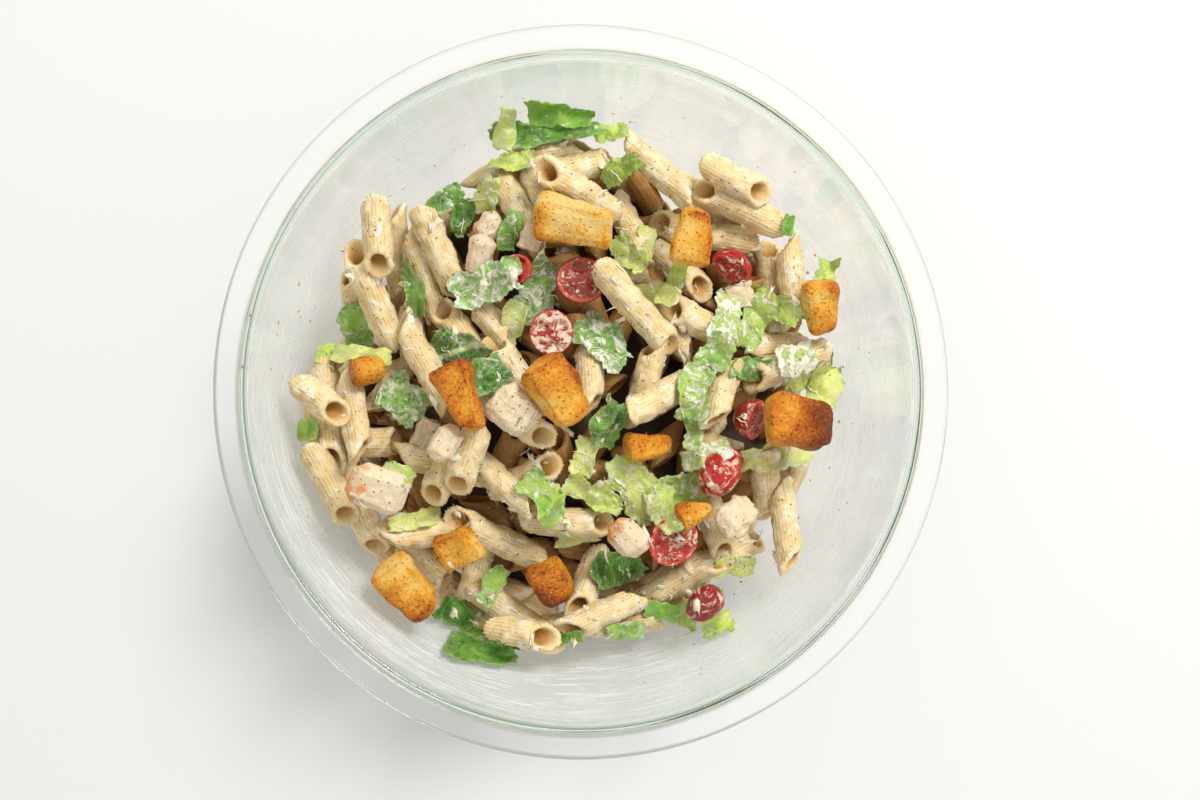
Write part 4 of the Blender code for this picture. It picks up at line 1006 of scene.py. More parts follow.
# Where each leaf lies: x, y, length, width, heading. Then how green it is, how much dressing is on it, how far
# it crinkles in millimetres and how pale its rib is.
LETTUCE = (
    (-15, 107, 46, 13, 1, 0.80, 0.45, 2.4, 0.2), (-28, 94, 22, 9, 4, 0.30, 0.47, 2.2, 0.1),
    (-38, 80, 16, 11, 70, 0.22, 0.51, 1.0, 0.9), (-49, 73, 17, 10, 75, 0.90, 0.45, 1.8, 0.2),
    (16, 90, 18, 11, 30, 0.42, 0.47, 2.8, 0.1), (-38, 43, 30, 18, 14, 0.62, 0.61, 1.4, 0.5),
    (-18, 41, 30, 14, 62, 0.66, 0.59, 1.8, 0.4), (9, 21, 27, 18, -45, 0.74, 0.59, 1.2, 0.1),
    (19, 57, 19, 13, -50, 0.30, 0.51, 2.8, 0.3), (30, 40, 20, 9, -10, 0.10, 0.47, 1.6, 0.4),
    (58, 31, 22, 16, 72, 0.44, 0.59, 2.2, 0.3), (53, 14, 20, 14, 60, 0.50, 0.55, 2.0, 0.3),
    (44, 0, 24, 15, 78, 0.50, 0.56, 2.2, 0.3), (79, 35, 23, 12, -35, 0.34, 0.49, 3.0, 0.2),
    (93, 10, 25, 15, 50, 0.14, 0.49, 2.6, 0.4), (45, -13, 22, 10, 85, 0.42, 0.53, 2.0, 0.3),
    (22, -39, 30, 20, -60, 0.26, 0.52, 2.6, 0.4), (42, -38, 22, 17, 10, 0.38, 0.55, 2.2, 0.2),
    (-15, -42, 25, 15, -60, 0.50, 0.50, 1.6, 0.5), (5, -41, 26, 13, -25, 0.24, 0.53, 3.0, 0.3),
    (1, -26, 18, 12, 80, 0.05, 0.49, 2.4, 0.5), (11, -12, 22, 15, 70, 0.86, 0.49, 1.6, 0.4),
    (80, -26, 34, 14, 5, 0.08, 0.49, 1.4, 0.9), (15, -72, 22, 17, 20, 0.90, 0.43, 2.0, 0.1),
    (-36, -79, 17, 11, 60, 0.55, 0.53, 2.2, 0.4), (-36, -99, 28, 12, -20, 0.72, 0.47, 2.8, 0.2),
    (47, -88, 24, 15, 45, 0.34, 0.47, 3.2, 0.2), (-91, 26, 21, 16, 80, 0.60, 0.53, 1.8, 0.4),
    (-69, 41, 22, 9, -75, 0.66, 0.47, 1.8, 0.6), (-49, 16, 27, 16, -20, 0.90, 0.50, 1.6, 0.9),
    (-72, -3, 22, 18, -40, 0.76, 0.55, 1.4, 0.7),
)
# Small torn bits between those, laid over whatever is there.
LETTUCE_BITS = (
    (-57, 80, 16, 9, 35, 0.85, 0.48, 2.0, 0.2), (-9, 112, 26, 8, -5, 0.62, 0.44, 2.2, 0.2),
    (-41, -104, 28, 9, -12, 0.86, 0.42, 2.2, 0.2), (99, 47, 15, 9, 80, 0.35, 0.46, 2.8, 0.1),
    (12, 106, 13, 8, 10, 0.35, 0.49, 2.4, 0.1), (-29, 65, 17, 8, 78, 0.70, 0.49, 1.6, 0.2),
    (39, 48, 12, 8, 70, 0.30, 0.49, 1.8, 0.2), (87, 14, 15, 14, 20, 0.45, 0.65, 1.4, 0.3),
    (69, 10, 17, 10, 0, 0.80, 0.49, 1.8, 0.3), (50, -25, 19, 10, 20, 0.28, 0.59, 1.4, 0.3),
    (-52, -91, 16, 12, -30, 0.95, 0.39, 1.6, 0.1), (-5, -99, 11, 6, 10, 0.70, 0.43, 1.6, 0.1),
    (18, -98, 16, 8, 0, 0.50, 0.51, 1.8, 0.2), (33, -90, 14, 8, -10, 0.60, 0.47, 2.0, 0.2),
    (63, -72, 17, 9, 0, 0.10, 0.43, 2.2, 0.2), (-89, 15, 24, 8, -5, 0.14, 0.45, 2.2, 0.4),
    (-104, 16, 9, 8, 0, 0.40, 0.43, 1.6, 0.1), (-110, -15, 9, 9, 0, 0.45, 0.43, 1.6, 0.1),
    (-72, -32, 13, 8, -20, 0.38, 0.51, 2.6, 0.1), (-67, -51, 20, 7, 10, 0.08, 0.45, 1.4, 0.3),
    (-37, 7, 16, 14, 30, 0.98, 0.47, 1.6, 0.2), (84, 68, 8, 5, 80, 0.80, 0.39, 1.2, 0.1),
    (-28, 28, 17, 10, 70, 0.12, 0.53, 0.8, 0.9), (-31, 106, 16, 9, 75, 0.16, 0.49, 0.8, 0.9),
    (26, 61, 14, 8, 80, 0.12, 0.49, 1.2, 0.8), (-2, -59, 19, 7, 10, 0.10, 0.53, 1.0, 0.9),
    (70, 28, 22, 12, 60, 0.42, 0.55, 2.6, 0.2), (34, -47, 18, 14, -60, 0.24, 0.53, 2.6, 0.2),
    (100, 2, 20, 14, 70, 0.12, 0.47, 2.8, 0.3), (55, -94, 14, 10, 20, 0.30, 0.45, 3.0, 0.1),
)
LEAF_COLUMNS, LEAF_ROWS, LEAF_CUTS, BIT_CUTS, LEAF_THICK, LEAF_SPREAD = 6, 4, (42, 26), (24, 14), 0.5, 1.10
# How steeply a leaf falls or rises from its middle at most: it bridges a gap and does not fold into it.
LEAF_FALL, LEAF_RISE, LEAF_OFF_GLASS = 0.75, 1.1, 0.4
BLANKET_REACH, BLANKET_BLUR, BIT_OVER_BLANKET, BIT_TAPER = 1.5, 2.0, 0.5, 0.35
# The torn edge draws in by this share everywhere, and further in waves and notches: how far and how fine.
TORN, TORN_WAVES, TORN_NOTCHES = 0.10, (0.42, 0.13), (0.30, 0.42)
# How strong and how fine the unevenness is: broad crinkles, smaller ones, ruffles, their frills and pimples.
CRINKLES, WRINKLES, RUFFLES, FRILLS, PIMPLES = (0.85, 0.15), (0.34, 0.40), (0.6, 0.55), (0.35, 1.1), (0.3, 0.7)
# How far a ruffle leans sideways and how fine, how high and how wide a rib is, and how far a whole side curls.
SWAY, RIB_HEIGHT, RIB_WIDTH, CURL_RANGE = (0.35, 0.6), 0.7, 1.3, (-1.6, 2.4)
# How a rib runs at most: its turn in radians and how far off the middle, as a share of the leaf's width.
RIB_TURNS, RIB_ASIDE, SHEET_SCALE = 0.7, 0.28, 0.1


def blanket_height():
    """The height that a limp leaf takes over each cell: the highest thing near it, smoothed."""
    height = np.minimum(np.maximum(relief.pasta, relief.other), BOWL_HEIGHT)
    for _ in range(int(BLANKET_REACH / CELL)):
        height = highest_near(height)
    return smoothed(height, BLANKET_BLUR)


blanket = blanket_height()


def merged_copy(node):
    """A CAD node's mesh in millimetres with its loose triangles joined."""
    bm = bmesh.new()
    bm.from_mesh(frame["nodes"][node].data)
    bmesh.ops.scale(bm, vec=(1 / MM, 1 / MM, 1 / MM), verts=bm.verts)
    bmesh.ops.remove_doubles(bm, verts=bm.verts, dist=0.01)
    return bm


def leaf_courses(node, x, y, heading):
    """The leaf solid's upper corners, as 6 crosswise rows of 4 along the leaf."""
    bm = merged_copy(node)
    turn = Matrix.Rotation(-math.radians(heading), 2)
    corners = []
    for corner in bm.verts:
        if any(face.normal.z > 0.02 for face in corner.link_faces):
            corners.append((*(turn @ Vector((corner.co.x - x, corner.co.y - y))), corner.co.copy()))
    bm.free()
    corners.sort(key=lambda entry: entry[0])
    rows = [corners[k * LEAF_ROWS : (k + 1) * LEAF_ROWS] for k in range(LEAF_COLUMNS)]
    return [[entry[2] for entry in sorted(row, key=lambda entry: entry[1])] for row in rows]


def bit_courses(x, y, length, width, heading):
    """The same rows of corners for a small bit, which lies on the blanket."""
    turn = Matrix.Rotation(math.radians(heading), 2)
    rows = []
    for i in range(LEAF_COLUMNS):
        along = (i / (LEAF_COLUMNS - 1) - 0.5) * length
        wide = width * (1 - BIT_TAPER * abs(2 * along / length) ** 3)
        row = [turn @ Vector((along, (j / (LEAF_ROWS - 1) - 0.5) * wide)) + Vector((x, y)) for j in range(LEAF_ROWS)]
        rows.append([Vector((*spot, value_at(blanket, *spot) + BIT_OVER_BLANKET)) for spot in row])
    return rows


def through(points, share):
    """A point on the smooth curve through a row of points, at this share of the way along."""
    at = min(max(share, 0.0), 1.0) * (len(points) - 1)
    k = min(int(at), len(points) - 2)
    t = at - k
    first = points[k - 1] if k else points[0] * 2 - points[1]
    last = points[k + 2] if k + 2 < len(points) else points[-1] * 2 - points[-2]
    return 0.5 * (
        2 * points[k] + (points[k + 1] - first) * t
        + (2 * first - 5 * points[k] + 4 * points[k + 1] - last) * t * t
        + (3 * points[k] - first - 3 * points[k + 1] + last) * t**3
    )


def smooth_face(bm, uv, corners, spots):
    """A smooth face with a place on the sheet for each of its corners. Returns what carries its colours."""
    face = bm.faces.new(corners)
    face.smooth = True
    for loop, spot in zip(face.loops, spots):
        loop[uv].uv = spot
    return face.loops


def leaf_skin(bm, uv, tone, grid, look):
    """A thin closed sheet over a grid of points: its top, its underside and its edge, with the leaf's look."""
    columns, rows = len(grid) - 1, len(grid[0]) - 1
    top = [[bm.verts.new(point) for point, _, _ in line] for line in grid]
    low = [[bm.verts.new(point - Vector((0, 0, LEAF_THICK))) for point, _, _ in line] for line in grid]

    def skin(ring, corners):
        loops = smooth_face(bm, uv, ring, [grid[i][j][1] for i, j in corners])
        for loop, (i, j) in zip(loops, corners):
            loop[tone] = (*look, grid[i][j][2] ** 6)

    for i in range(columns):
        for j in range(rows):
            corners = [(i, j), (i + 1, j), (i + 1, j + 1), (i, j + 1)]
            skin([top[a][b] for a, b in corners], corners)
            skin([low[a][b] for a, b in reversed(corners)], corners[::-1])
    border = [(i, 0) for i in range(columns)] + [(columns, j) for j in range(rows)]
    border += [(i, rows) for i in range(columns, 0, -1)] + [(0, j) for j in range(rows, 0, -1)]
    for here, there in zip(border, border[1:] + border[:1]):
        (a, b), (c, d) = here, there
        skin([low[a][b], low[c][d], top[c][d], top[a][b]], [here, there, there, here])


def ruffled_leaf(bm, uv, tone, number, leaf, courses, cuts):
    """One leaf drawn finely along its course, with a torn edge, crinkles, ruffles, and a rib that crosses it."""
    _, _, length, width, _, green, dressed_share, curl, rib = leaf
    columns, rows = cuts
    rng = random.Random(700 + number)
    shift = Vector((rng.uniform(-40, 40), rng.uniform(-40, 40), number * 7.0))
    lean, aside = rng.uniform(-RIB_TURNS, RIB_TURNS), rng.uniform(-RIB_ASIDE, RIB_ASIDE) * width
    left, right, ends = (rng.uniform(*CURL_RANGE) * width / 16 for _ in range(3))
    centre = sum((corner for row in courses for corner in row), Vector()) / (LEAF_COLUMNS * LEAF_ROWS)
    spread = Vector((LEAF_SPREAD, LEAF_SPREAD, 1.0))

    def waves(point, strength, fineness, start=0.0):
        return strength * noise.noise(point * fineness + shift + Vector((start, 0, 0)))

    def torn(along, side):
        """How far the torn edge draws in, as a share."""
        spot = Vector((along, side * 9.0, 0))
        return max(-0.1, TORN + waves(spot, *TORN_WAVES) + max(0.0, waves(spot, *TORN_NOTCHES, 5.0)))

    def drawn(u, v):
        """A point of the leaf, its place along and across the rib, and how near it is to the edge."""
        full = (1 - 0.40 * abs(u) ** 3) ** -0.6
        long = u * (1 - 0.6 * torn(v * width / 2, math.copysign(3, u)))
        wide = v * full * (1 - torn(u * length / 2, math.copysign(1, v)))
        across = [through([row[k] for row in courses], 0.5 + 0.5 * long) for k in range(LEAF_ROWS)]
        here = centre + (through(across, 0.5 + 0.5 * wide) - centre) * spread
        flat = Vector((long * length / 2, wide * width / 2, 0))
        edge = max(abs(v), abs(u) ** 1.4)
        along = flat.x * math.cos(lean) + (flat.y - aside) * math.sin(lean)
        off = (flat.y - aside) * math.cos(lean) - flat.x * math.sin(lean)
        crinkle = waves(flat, *CRINKLES) + waves(flat, *WRINKLES, 3.0) * (0.3 + edge)
        ruffle = edge**4 * (waves(flat, *RUFFLES, 7.0) + waves(flat, *FRILLS, 2.0))
        here.z += curl * (crinkle + ruffle) + abs(waves(flat, *PIMPLES, 11.0))
        here.z += (left if wide > 0 else right) * wide * wide + ends * long * long * math.copysign(1, long)
        here.z += RIB_HEIGHT * rib * math.exp(-((off / RIB_WIDTH) ** 2))
        here.x += curl * edge**4 * waves(flat, *SWAY, 13.0)
        here.y += curl * edge**4 * waves(flat, *SWAY, 17.0)
        beside = math.hypot(here.x - centre.x, here.y - centre.y)
        here.z = min(max(here.z, centre.z - LEAF_FALL * beside), centre.z + LEAF_RISE * beside)
        glass = float(inner_height(np.array(min(math.hypot(here.x, here.y), MOUTH_RADIUS))))
        here.z = max(here.z, glass + LEAF_THICK + LEAF_OFF_GLASS)
        return here, (along * SHEET_SCALE, off * SHEET_SCALE), edge

    grid = [[drawn(2 * i / columns - 1, 2 * j / rows - 1) for j in range(rows + 1)] for i in range(columns + 1)]
    leaf_skin(bm, uv, tone, grid, (green, dressed_share, rib))


def on_sheet(tree):
    return add(tree, "ShaderNodeUVMap", uv_map="UVMap").outputs["UV"]


def own_traits(tree):
    """What the corners of each leaf or half carry: three values of its own, and a fourth."""
    own = attribute(tree, "traits")
    return add(tree, "ShaderNodeSeparateColor", {0: own["Color"]}).outputs, own["Alpha"]


def colour_ramp(tree, level, *stops):
    """The colour at this level from stops at rising positions, of which the first is at 0 and the last at 1."""
    made = add(tree, "ShaderNodeValToRGB", {0: level})
    elements = made.color_ramp.elements
    elements[0].color, elements[1].color = (*stops[0][1], 1), (*stops[-1][1], 1)
    for position, colour in stops[1:-1]:
        elements.new(position).color = (*colour, 1)
    return made.outputs["Color"]


def leaf_green():
    """Leaf tissue between pale veins: the rib, side veins that leave it aslant and a fine net between them."""
    material, tree, shader, place = start_material("lettuce_leaf", Roughness=0.38, Specular_IOR_Level=0.35)
    spot, (traits, rim) = on_sheet(tree), own_traits(tree)
    along = add(tree, "ShaderNodeSeparateXYZ", {0: spot}).outputs
    off = maths(tree, "ABSOLUTE", along["Y"])
    rib = maths(tree, "MULTIPLY", carried(tree, off, 0.04, 0.15, 1.0, 0.0, "SMOOTHSTEP"), traits["Blue"])
    slant = maths(tree, "MULTIPLY_ADD", off, -0.75, along["X"])
    bent = maths(tree, "MULTIPLY_ADD", mottling(tree, spot, 3.2, 3.0), 0.75, slant)
    side = carried(tree, maths(tree, "PINGPONG", bent, 0.42), 0.008, 0.05, 0.45, 0.0)
    net = add(tree, "ShaderNodeTexVoronoi", {"Vector": spot, "Scale": 4.5}, feature="DISTANCE_TO_EDGE")
    fine = carried(tree, net.outputs["Distance"], 0.02, 0.12, 0.35, 0.0)
    veins = maths(tree, "MAXIMUM", maths(tree, "MAXIMUM", side, fine), rib)
    depth = maths(tree, "MULTIPLY_ADD", mottling(tree, place, 120.0, 4.0), 0.7, traits["Red"])
    green = colour_ramp(
        tree, maths(tree, "SUBTRACT", depth, 0.35), (0.0, (0.82, 0.78, 0.28)), (0.28, (0.60, 0.67, 0.14)),
        (0.62, (0.19, 0.43, 0.034)), (1.0, (0.028, 0.125, 0.012))
    )
    edged = mixed(tree, maths(tree, "MULTIPLY", rim, 0.45), green, (0.52, 0.66, 0.24))
    pale = mixed(tree, traits["Blue"], (0.26, 0.46, 0.10), (0.62, 0.70, 0.36))
    leaf = mixed(tree, veins, edged, pale)
    smeared, cover = dressed(tree, place, leaf, (0.92, 0.91, 0.74), 190.0, traits["Green"], 0.20)
    peppered(tree, shader, place, smeared, 400.0, 0.07)
    raised(tree, shader, maths(tree, "MULTIPLY_ADD", veins, -0.8, cover), 0.7, 0.0006)
    return material


def nodes_of(group, table):
    """The names of one group's CAD nodes, in the order of its table."""
    return [group.format(k + 1) for k in range(len(table))]


def all_leaves(nodes):
    bm = bmesh.new()
    uv, tone = bm.loops.layers.uv.new("UVMap"), bm.loops.layers.float_color.new("traits")
    for k, (node, leaf) in enumerate(zip(nodes, LETTUCE)):
        ruffled_leaf(bm, uv, tone, k + 1, leaf, leaf_courses(node, *leaf[:2], leaf[4]), LEAF_CUTS)
    for k, bit in enumerate(LETTUCE_BITS):
        ruffled_leaf(bm, uv, tone, 60 + k, bit, bit_courses(*bit[:5]), BIT_CUTS)
    return finished_mesh(bm, "lettuce_leaves")


lettuce_nodes = nodes_of("lettuce_{:02d}", LETTUCE)
keep_piece("lettuce_leaves", all_leaves(lettuce_nodes), lettuce_nodes, leaf_green())

# ---------------------------------------------------------------- tomatoes
# Cherry tomatoes cut in half: a thin glossy skin, a wall of flesh and, in the cut face, wet chambers of seeds
# round a paler core, with dressing run into them. Each half fills its solid.

# How much dressing lies on each cut face and on its skin, how bright its red is and how many chambers it has.
TOMATOES = (
    (0.42, 0.44, 0.9, 2), (0.47, 0.40, 0.30, 3), (0.57, 0.46, 0.75, 3), (0.48, 0.44, 0.7, 2),
    (0.44, 0.46, 0.35, 2), (0.50, 0.51, 0.9, 2), (0.51, 0.48, 1.0, 3), (0.48, 0.50, 0.30, 2),
)
TOMATO_RINGS, TOMATO_SIDES = 14, 44
# The chambers: how far out as a share, how wide, how deep, and how high the seeds stand and the flesh swells.
CHAMBER_AT, CHAMBER_WIDE, CHAMBER_DEEP, SEEDS_HIGH, FLESH_SWELLS = 0.55, 0.27, 2.3, 1.8, 0.6
# The cut face falls away from here outwards, this steeply, and ends here.
EDGE_FROM, EDGE_FALL, EDGE_END = 0.93, 6.0, 0.985


def cut_face_of(bm):
    """The flat face of a half: its centre, its normal and its longest direction, with its half sizes and depth."""
    def flat_with(up):
        return [face for face in bm.faces if face.normal.dot(up) > 0.9995]

    largest = max(bm.faces, key=lambda face: sum(other.calc_area() for other in flat_with(face.normal)))
    up, flat = largest.normal.copy(), flat_with(largest.normal)
    rim = list({corner for face in flat for corner in face.verts})
    centre = sum((corner.co for corner in rim), Vector()) / len(rim)
    spread = np.array([corner.co - centre for corner in rim])
    ahead = Vector(np.linalg.eigh(spread.T @ spread)[1][:, 2])
    aside = up.cross(ahead)
    reach = [max(abs((corner.co - centre).dot(axis)) for corner in rim) for axis in (ahead, aside)]
    depth = max((centre - corner.co).dot(up) for corner in bm.verts)
    return centre, up, ahead, aside, reach, depth


def tomato_skin(bm, layers, rings, look):
    """The faces between the rings of a half, marked as skin or cut face, with the half's look."""
    uv, skin, traits = layers
    for near, far in zip(rings, rings[1:]):
        for j in range(TOMATO_SIDES):
            corners = [near[j], far[j], far[(j + 1) % TOMATO_SIDES], near[(j + 1) % TOMATO_SIDES]]
            unique = [entry for k, entry in enumerate(corners) if entry[0] is not corners[k - 1][0]]
            loops = smooth_face(bm, uv, [entry[0] for entry in unique], [entry[1] for entry in unique])
            for loop, (_, _, outside) in zip(loops, unique):
                loop[skin] = (1, 1, 1, 1) if outside else (0, 0, 0, 1)
                loop[traits] = look


def half_tomato(bm, layers, number, facts):
    """One half: the cut face from its core to its rim, then round the skin to its underside."""
    cut_dressed, skin_dressed, red, chambers = facts
    solid = merged_copy(f"tomato_{number}")
    centre, up, ahead, aside, reach, depth = cut_face_of(solid)
    solid.free()
    rng = random.Random(800 + number)
    shift = Vector((number * 13.0, rng.uniform(0, 50), 0))
    phase = rng.uniform(0, 6.28)

    def cut_face(out, turn):
        """How far out a point of the cut face is drawn and how high it stands."""
        spot = Vector((out * math.cos(turn), out * math.sin(turn), 0))
        within = max(0.0, 1 - ((out - CHAMBER_AT) / CHAMBER_WIDE) ** 2)
        chamber = max(0.0, math.cos(chambers * (turn + phase))) * within
        seeds = max(0.0, noise.noise(spot * 7.5 + shift)) * (chamber > 0.05)
        rise = SEEDS_HIGH * seeds - CHAMBER_DEEP * chamber + FLESH_SWELLS * noise.noise(spot * 3.5 + shift)
        if out > EDGE_FROM:
            return min(out, EDGE_END), rise - EDGE_FALL * (out - EDGE_FROM) ** 1.2
        return out, rise

    rings = []
    for i in range(2 * TOMATO_RINGS):
        ring = []
        for j in range(TOMATO_SIDES):
            turn = 2 * math.pi * j / TOMATO_SIDES
            if i < TOMATO_RINGS:
                out, rise = cut_face((i + 0.35) / (TOMATO_RINGS - 0.65), turn)
            else:
                swing = (i - TOMATO_RINGS + 0.6) / (TOMATO_RINGS - 0.1) * math.pi / 2
                out, rise = math.cos(swing), -depth * math.sin(swing)
            spot = out * math.cos(turn), out * math.sin(turn)
            point = centre + ahead * (reach[0] * spot[0]) + aside * (reach[1] * spot[1]) + up * rise
            ring.append((bm.verts.new(point), spot, i >= TOMATO_RINGS - 1))
        rings.append(ring)
    first, last = ((bm.verts.new(centre + up * high), (0.0, 0.0), high < 0) for high in (0.2, -depth))
    rings = [[first] * TOMATO_SIDES, *rings, [last] * TOMATO_SIDES]
    tomato_skin(bm, layers, rings, (cut_dressed, red, skin_dressed, 1))


def tomato_flesh():
    """Red skin outside. Inside: a pink wall, a wet deeper red, and dressing with seeds in the hollows."""
    material, tree, shader, place = start_material(
        "cut_tomato", Roughness=0.20, Specular_IOR_Level=0.30, Coat_Weight=0.12
    )
    spot, (traits, _) = on_sheet(tree), own_traits(tree)
    red = traits["Green"]
    streaks = mottling(tree, spot, 5.0, 4.0, Distortion=1.2)
    deep = mixed(tree, red, (0.10, 0.010, 0.006), (0.27, 0.006, 0.004))
    light = mixed(tree, red, (0.42, 0.075, 0.045), (0.66, 0.045, 0.022))
    wall = carried(tree, vectors(tree, "LENGTH", spot, output="Value"), 0.76, 0.88)
    walled = mixed(tree, wall, mixed(tree, streaks, deep, light), (0.60, 0.065, 0.035))
    inside, cover = dressed(tree, place, walled, (0.90, 0.66, 0.50), 230.0, traits["Red"], 0.10)
    skin = mixed(tree, red, (0.14, 0.010, 0.008), (0.55, 0.010, 0.010))
    outside, _ = dressed(tree, place, skin, (0.86, 0.56, 0.42), 170.0, traits["Blue"], 0.12)
    whole = mixed(tree, attribute(tree, "skin")["Fac"], inside, outside)
    peppered(tree, shader, place, whole, 420.0, 0.12)
    raised(tree, shader, maths(tree, "MULTIPLY_ADD", streaks, 0.8, cover), 0.6, 0.0007)
    return material


def all_tomatoes():
    bm = bmesh.new()
    layers = [bm.loops.layers.uv.new("UVMap")]
    layers += [bm.loops.layers.float_color.new(name) for name in ("skin", "traits")]
    for k, facts in enumerate(TOMATOES):
        half_tomato(bm, layers, k + 1, facts)
    bmesh.ops.recalc_face_normals(bm, faces=bm.faces)
    return finished_mesh(bm, "tomato_halves")


keep_piece("tomato_halves", all_tomatoes(), nodes_of("tomato_{}", TOMATOES), tomato_flesh())

# ---------------------------------------------------------------- chicken
# Grilled chicken breast, diced: pale pink-white meat with a fibrous, slightly torn surface, browned where it
# lay on the grill, and pepper on it. Each piece is its solid, rounded and roughened.

# How far each piece is seared, on which side in degrees, and how torn it is.
CHICKEN = (
    (0.55, 170, 0.7), (0.25, 200, 0.5), (0.75, 180, 0.3), (0.20, 30, 1.1), (0.70, 160, 0.3), (0.30, 200, 0.6),
    (0.15, 270, 1.2),
)
# Three small pieces between those: x, y, length, width, thickness, heading. Then how they are tipped and look.
CHICKEN_BITS = ((-63, -17, 12, 10, 7, 60), (65, 40, 11, 9, 6, 20), (-20, 62, 10, 8, 6, 70))
BIT_TIPPED, BIT_SEARED, BIT_TORN = 14, 0.15, 1.0
# The longest edge after each cut of a block, before its last and finest one.
BLOCK_EDGES, FINEST_CHICKEN = (6.0, 3.0, 1.5), 1.0


def fine_block(bm, rounded_cuts, finest):
    """A block cut finely, its edges rounded in the last cuts, with each corner's place along the block's own axes."""
    longest = (*BLOCK_EDGES, finest)
    bmesh.ops.dissolve_limit(bm, angle_limit=0.02, verts=bm.verts, edges=bm.edges)
    bmesh.ops.triangulate(bm, faces=bm.faces)
    for cut, limit in enumerate(longest):
        for _ in range(3):
            long_edges = [edge for edge in bm.edges if edge.calc_length() > limit]
            bmesh.ops.subdivide_edges(bm, edges=long_edges, cuts=1)
            bmesh.ops.triangulate(bm, faces=[face for face in bm.faces if len(face.verts) > 3])
        if cut >= len(longest) - rounded_cuts:
            bmesh.ops.smooth_vert(bm, verts=bm.verts, factor=0.5, use_axis_x=True, use_axis_y=True, use_axis_z=True)
    for face in bm.faces:
        face.smooth = True
    bm.normal_update()
    places = np.array([corner.co for corner in bm.verts])
    around = places - places.mean(0)
    own = around @ np.linalg.eigh(np.cov(around.T))[1][:, ::-1]
    return own / np.abs(own).max(0), own, around / np.abs(around).max()


def joined_pieces(pieces, name):
    """Several working meshes in millimetres as one in metres."""
    whole = bmesh.new()
    for bm in pieces:
        mesh = bpy.data.meshes.new("working")
        bm.to_mesh(mesh)
        bm.free()
        whole.from_mesh(mesh)
        bpy.data.meshes.remove(mesh)
    return finished_mesh(whole, name)


def small_block(x, y, length, width, thickness, heading):
    bm = bmesh.new()
    turn = Matrix.Rotation(math.radians(heading), 4, "Z") @ Matrix.Rotation(math.radians(BIT_TIPPED), 4, "X")
    base = Matrix.Translation((x, y, value_at(blanket, x, y) + thickness / 4)) @ turn
    bmesh.ops.create_cube(bm, size=1.0, matrix=base @ Matrix.Diagonal((length, width, thickness, 1)))
    return bm


def towards(side, up=0.0):
    """The direction of this side in degrees, with so much upwards in it."""
    return np.array((math.cos(math.radians(side)), math.sin(math.radians(side)), up))


def seared_piece(bm, number, seared, side, torn):
    """A piece of meat: fibrous along its length, torn in lumps and flecks, and browned on one side."""
    _, own, around = fine_block(bm, 1, FINEST_CHICKEN)
    browned = bm.verts.layers.float.new("seared")
    shift, ahead = Vector((number * 31.0, 0, 0)), towards(side, 0.25)
    for corner, spot, out in zip(bm.verts, own, around):
        fibre = noise.noise(Vector((spot[0] * 0.18, spot[1] * 1.3, spot[2] * 1.3)) + shift)
        lump, fleck = (noise.noise(Vector(spot) * fineness + shift) for fineness in (0.30, 0.95))
        corner.co += corner.normal * (0.30 * fibre + torn * (lump + 0.45 * fleck))
        corner[browned] = max(0.0, min(1.0, seared * (1.5 * float(out @ ahead) + 0.5 * lump)))
    return bm


def cooked_chicken():
    material, tree, shader, place = start_material("cooked_chicken", Roughness=0.5, Specular_IOR_Level=0.3)
    fibres = mottling(tree, place, 330.0, 4.0, Distortion=0.8)
    meat = mixed(tree, fibres, (0.64, 0.47, 0.27), (0.87, 0.75, 0.54))
    edge = maths(tree, "MULTIPLY", attribute(tree, "seared")["Fac"], mottling(tree, place, 210.0, 3.0))
    browned = mixed(tree, carried(tree, edge, 0.20, 0.46), meat, (0.66, 0.27, 0.075))
    smeared, cover = dressed(tree, place, browned, (0.93, 0.84, 0.67), 190.0, 0.46, 0.16)
    peppered(tree, shader, place, smeared, 330.0, 0.11)
    raised(tree, shader, maths(tree, "MULTIPLY_ADD", fibres, 0.6, cover), 0.5, 0.0005)
    return material


chicken_nodes = nodes_of("chicken_{}", CHICKEN)
chicken = [seared_piece(merged_copy(node), k, *CHICKEN[k]) for k, node in enumerate(chicken_nodes)]
for k, block in enumerate(CHICKEN_BITS):
    chicken.append(seared_piece(small_block(*block), 20 + k, BIT_SEARED, 90 * k, BIT_TORN))
keep_piece(
    "diced_chicken", joined_pieces(chicken, "diced_chicken"), chicken_nodes, cooked_chicken()
)

# ---------------------------------------------------------------- croutons
# Cubes of white bread fried golden: a crisp, finely pored crust, pale gold on the cut faces and dark orange
# along the edges and where the loaf's own crust was. Each is its solid, rounded and pored.

# How far each is toasted, how dark its edges are, on which side in degrees the browning is, how much of it there
# is, and in how many of its cuts the crouton is rounded.
CROUTONS = (
    (0.06, 0.60, -110, 0.34, 2), (0.30, 0.75, 10, 0.28, 3), (0.34, 0.50, 0, 0.18, 2), (0.70, 0.16, -8, 0.42, 2),
    (0.55, 0.45, 180, 0.16, 3), (0.60, 0.50, 60, 0.16, 1), (0.42, 0.55, 60, 0.26, 2), (0.52, 0.40, 90, 0.14, 3),
    (0.40, 0.50, 150, 0.20, 1), (0.34, 0.50, -90, 0.20, 2), (0.70, 0.45, -100, 0.22, 2), (0.48, 0.40, 180, 0.20, 2),
)
CROUTON_SWELL, FINEST_CROUTON = 1.04, 0.85
# How deep the pores are, how high the crumbs and the bulges, and from where outwards an edge is darker.
PORE_DEPTH, CRUMB_HEIGHT, BULGE_HEIGHT, EDGE_AT, EDGE_WIDE = 0.8, 0.09, 1.7, 0.45, 0.50


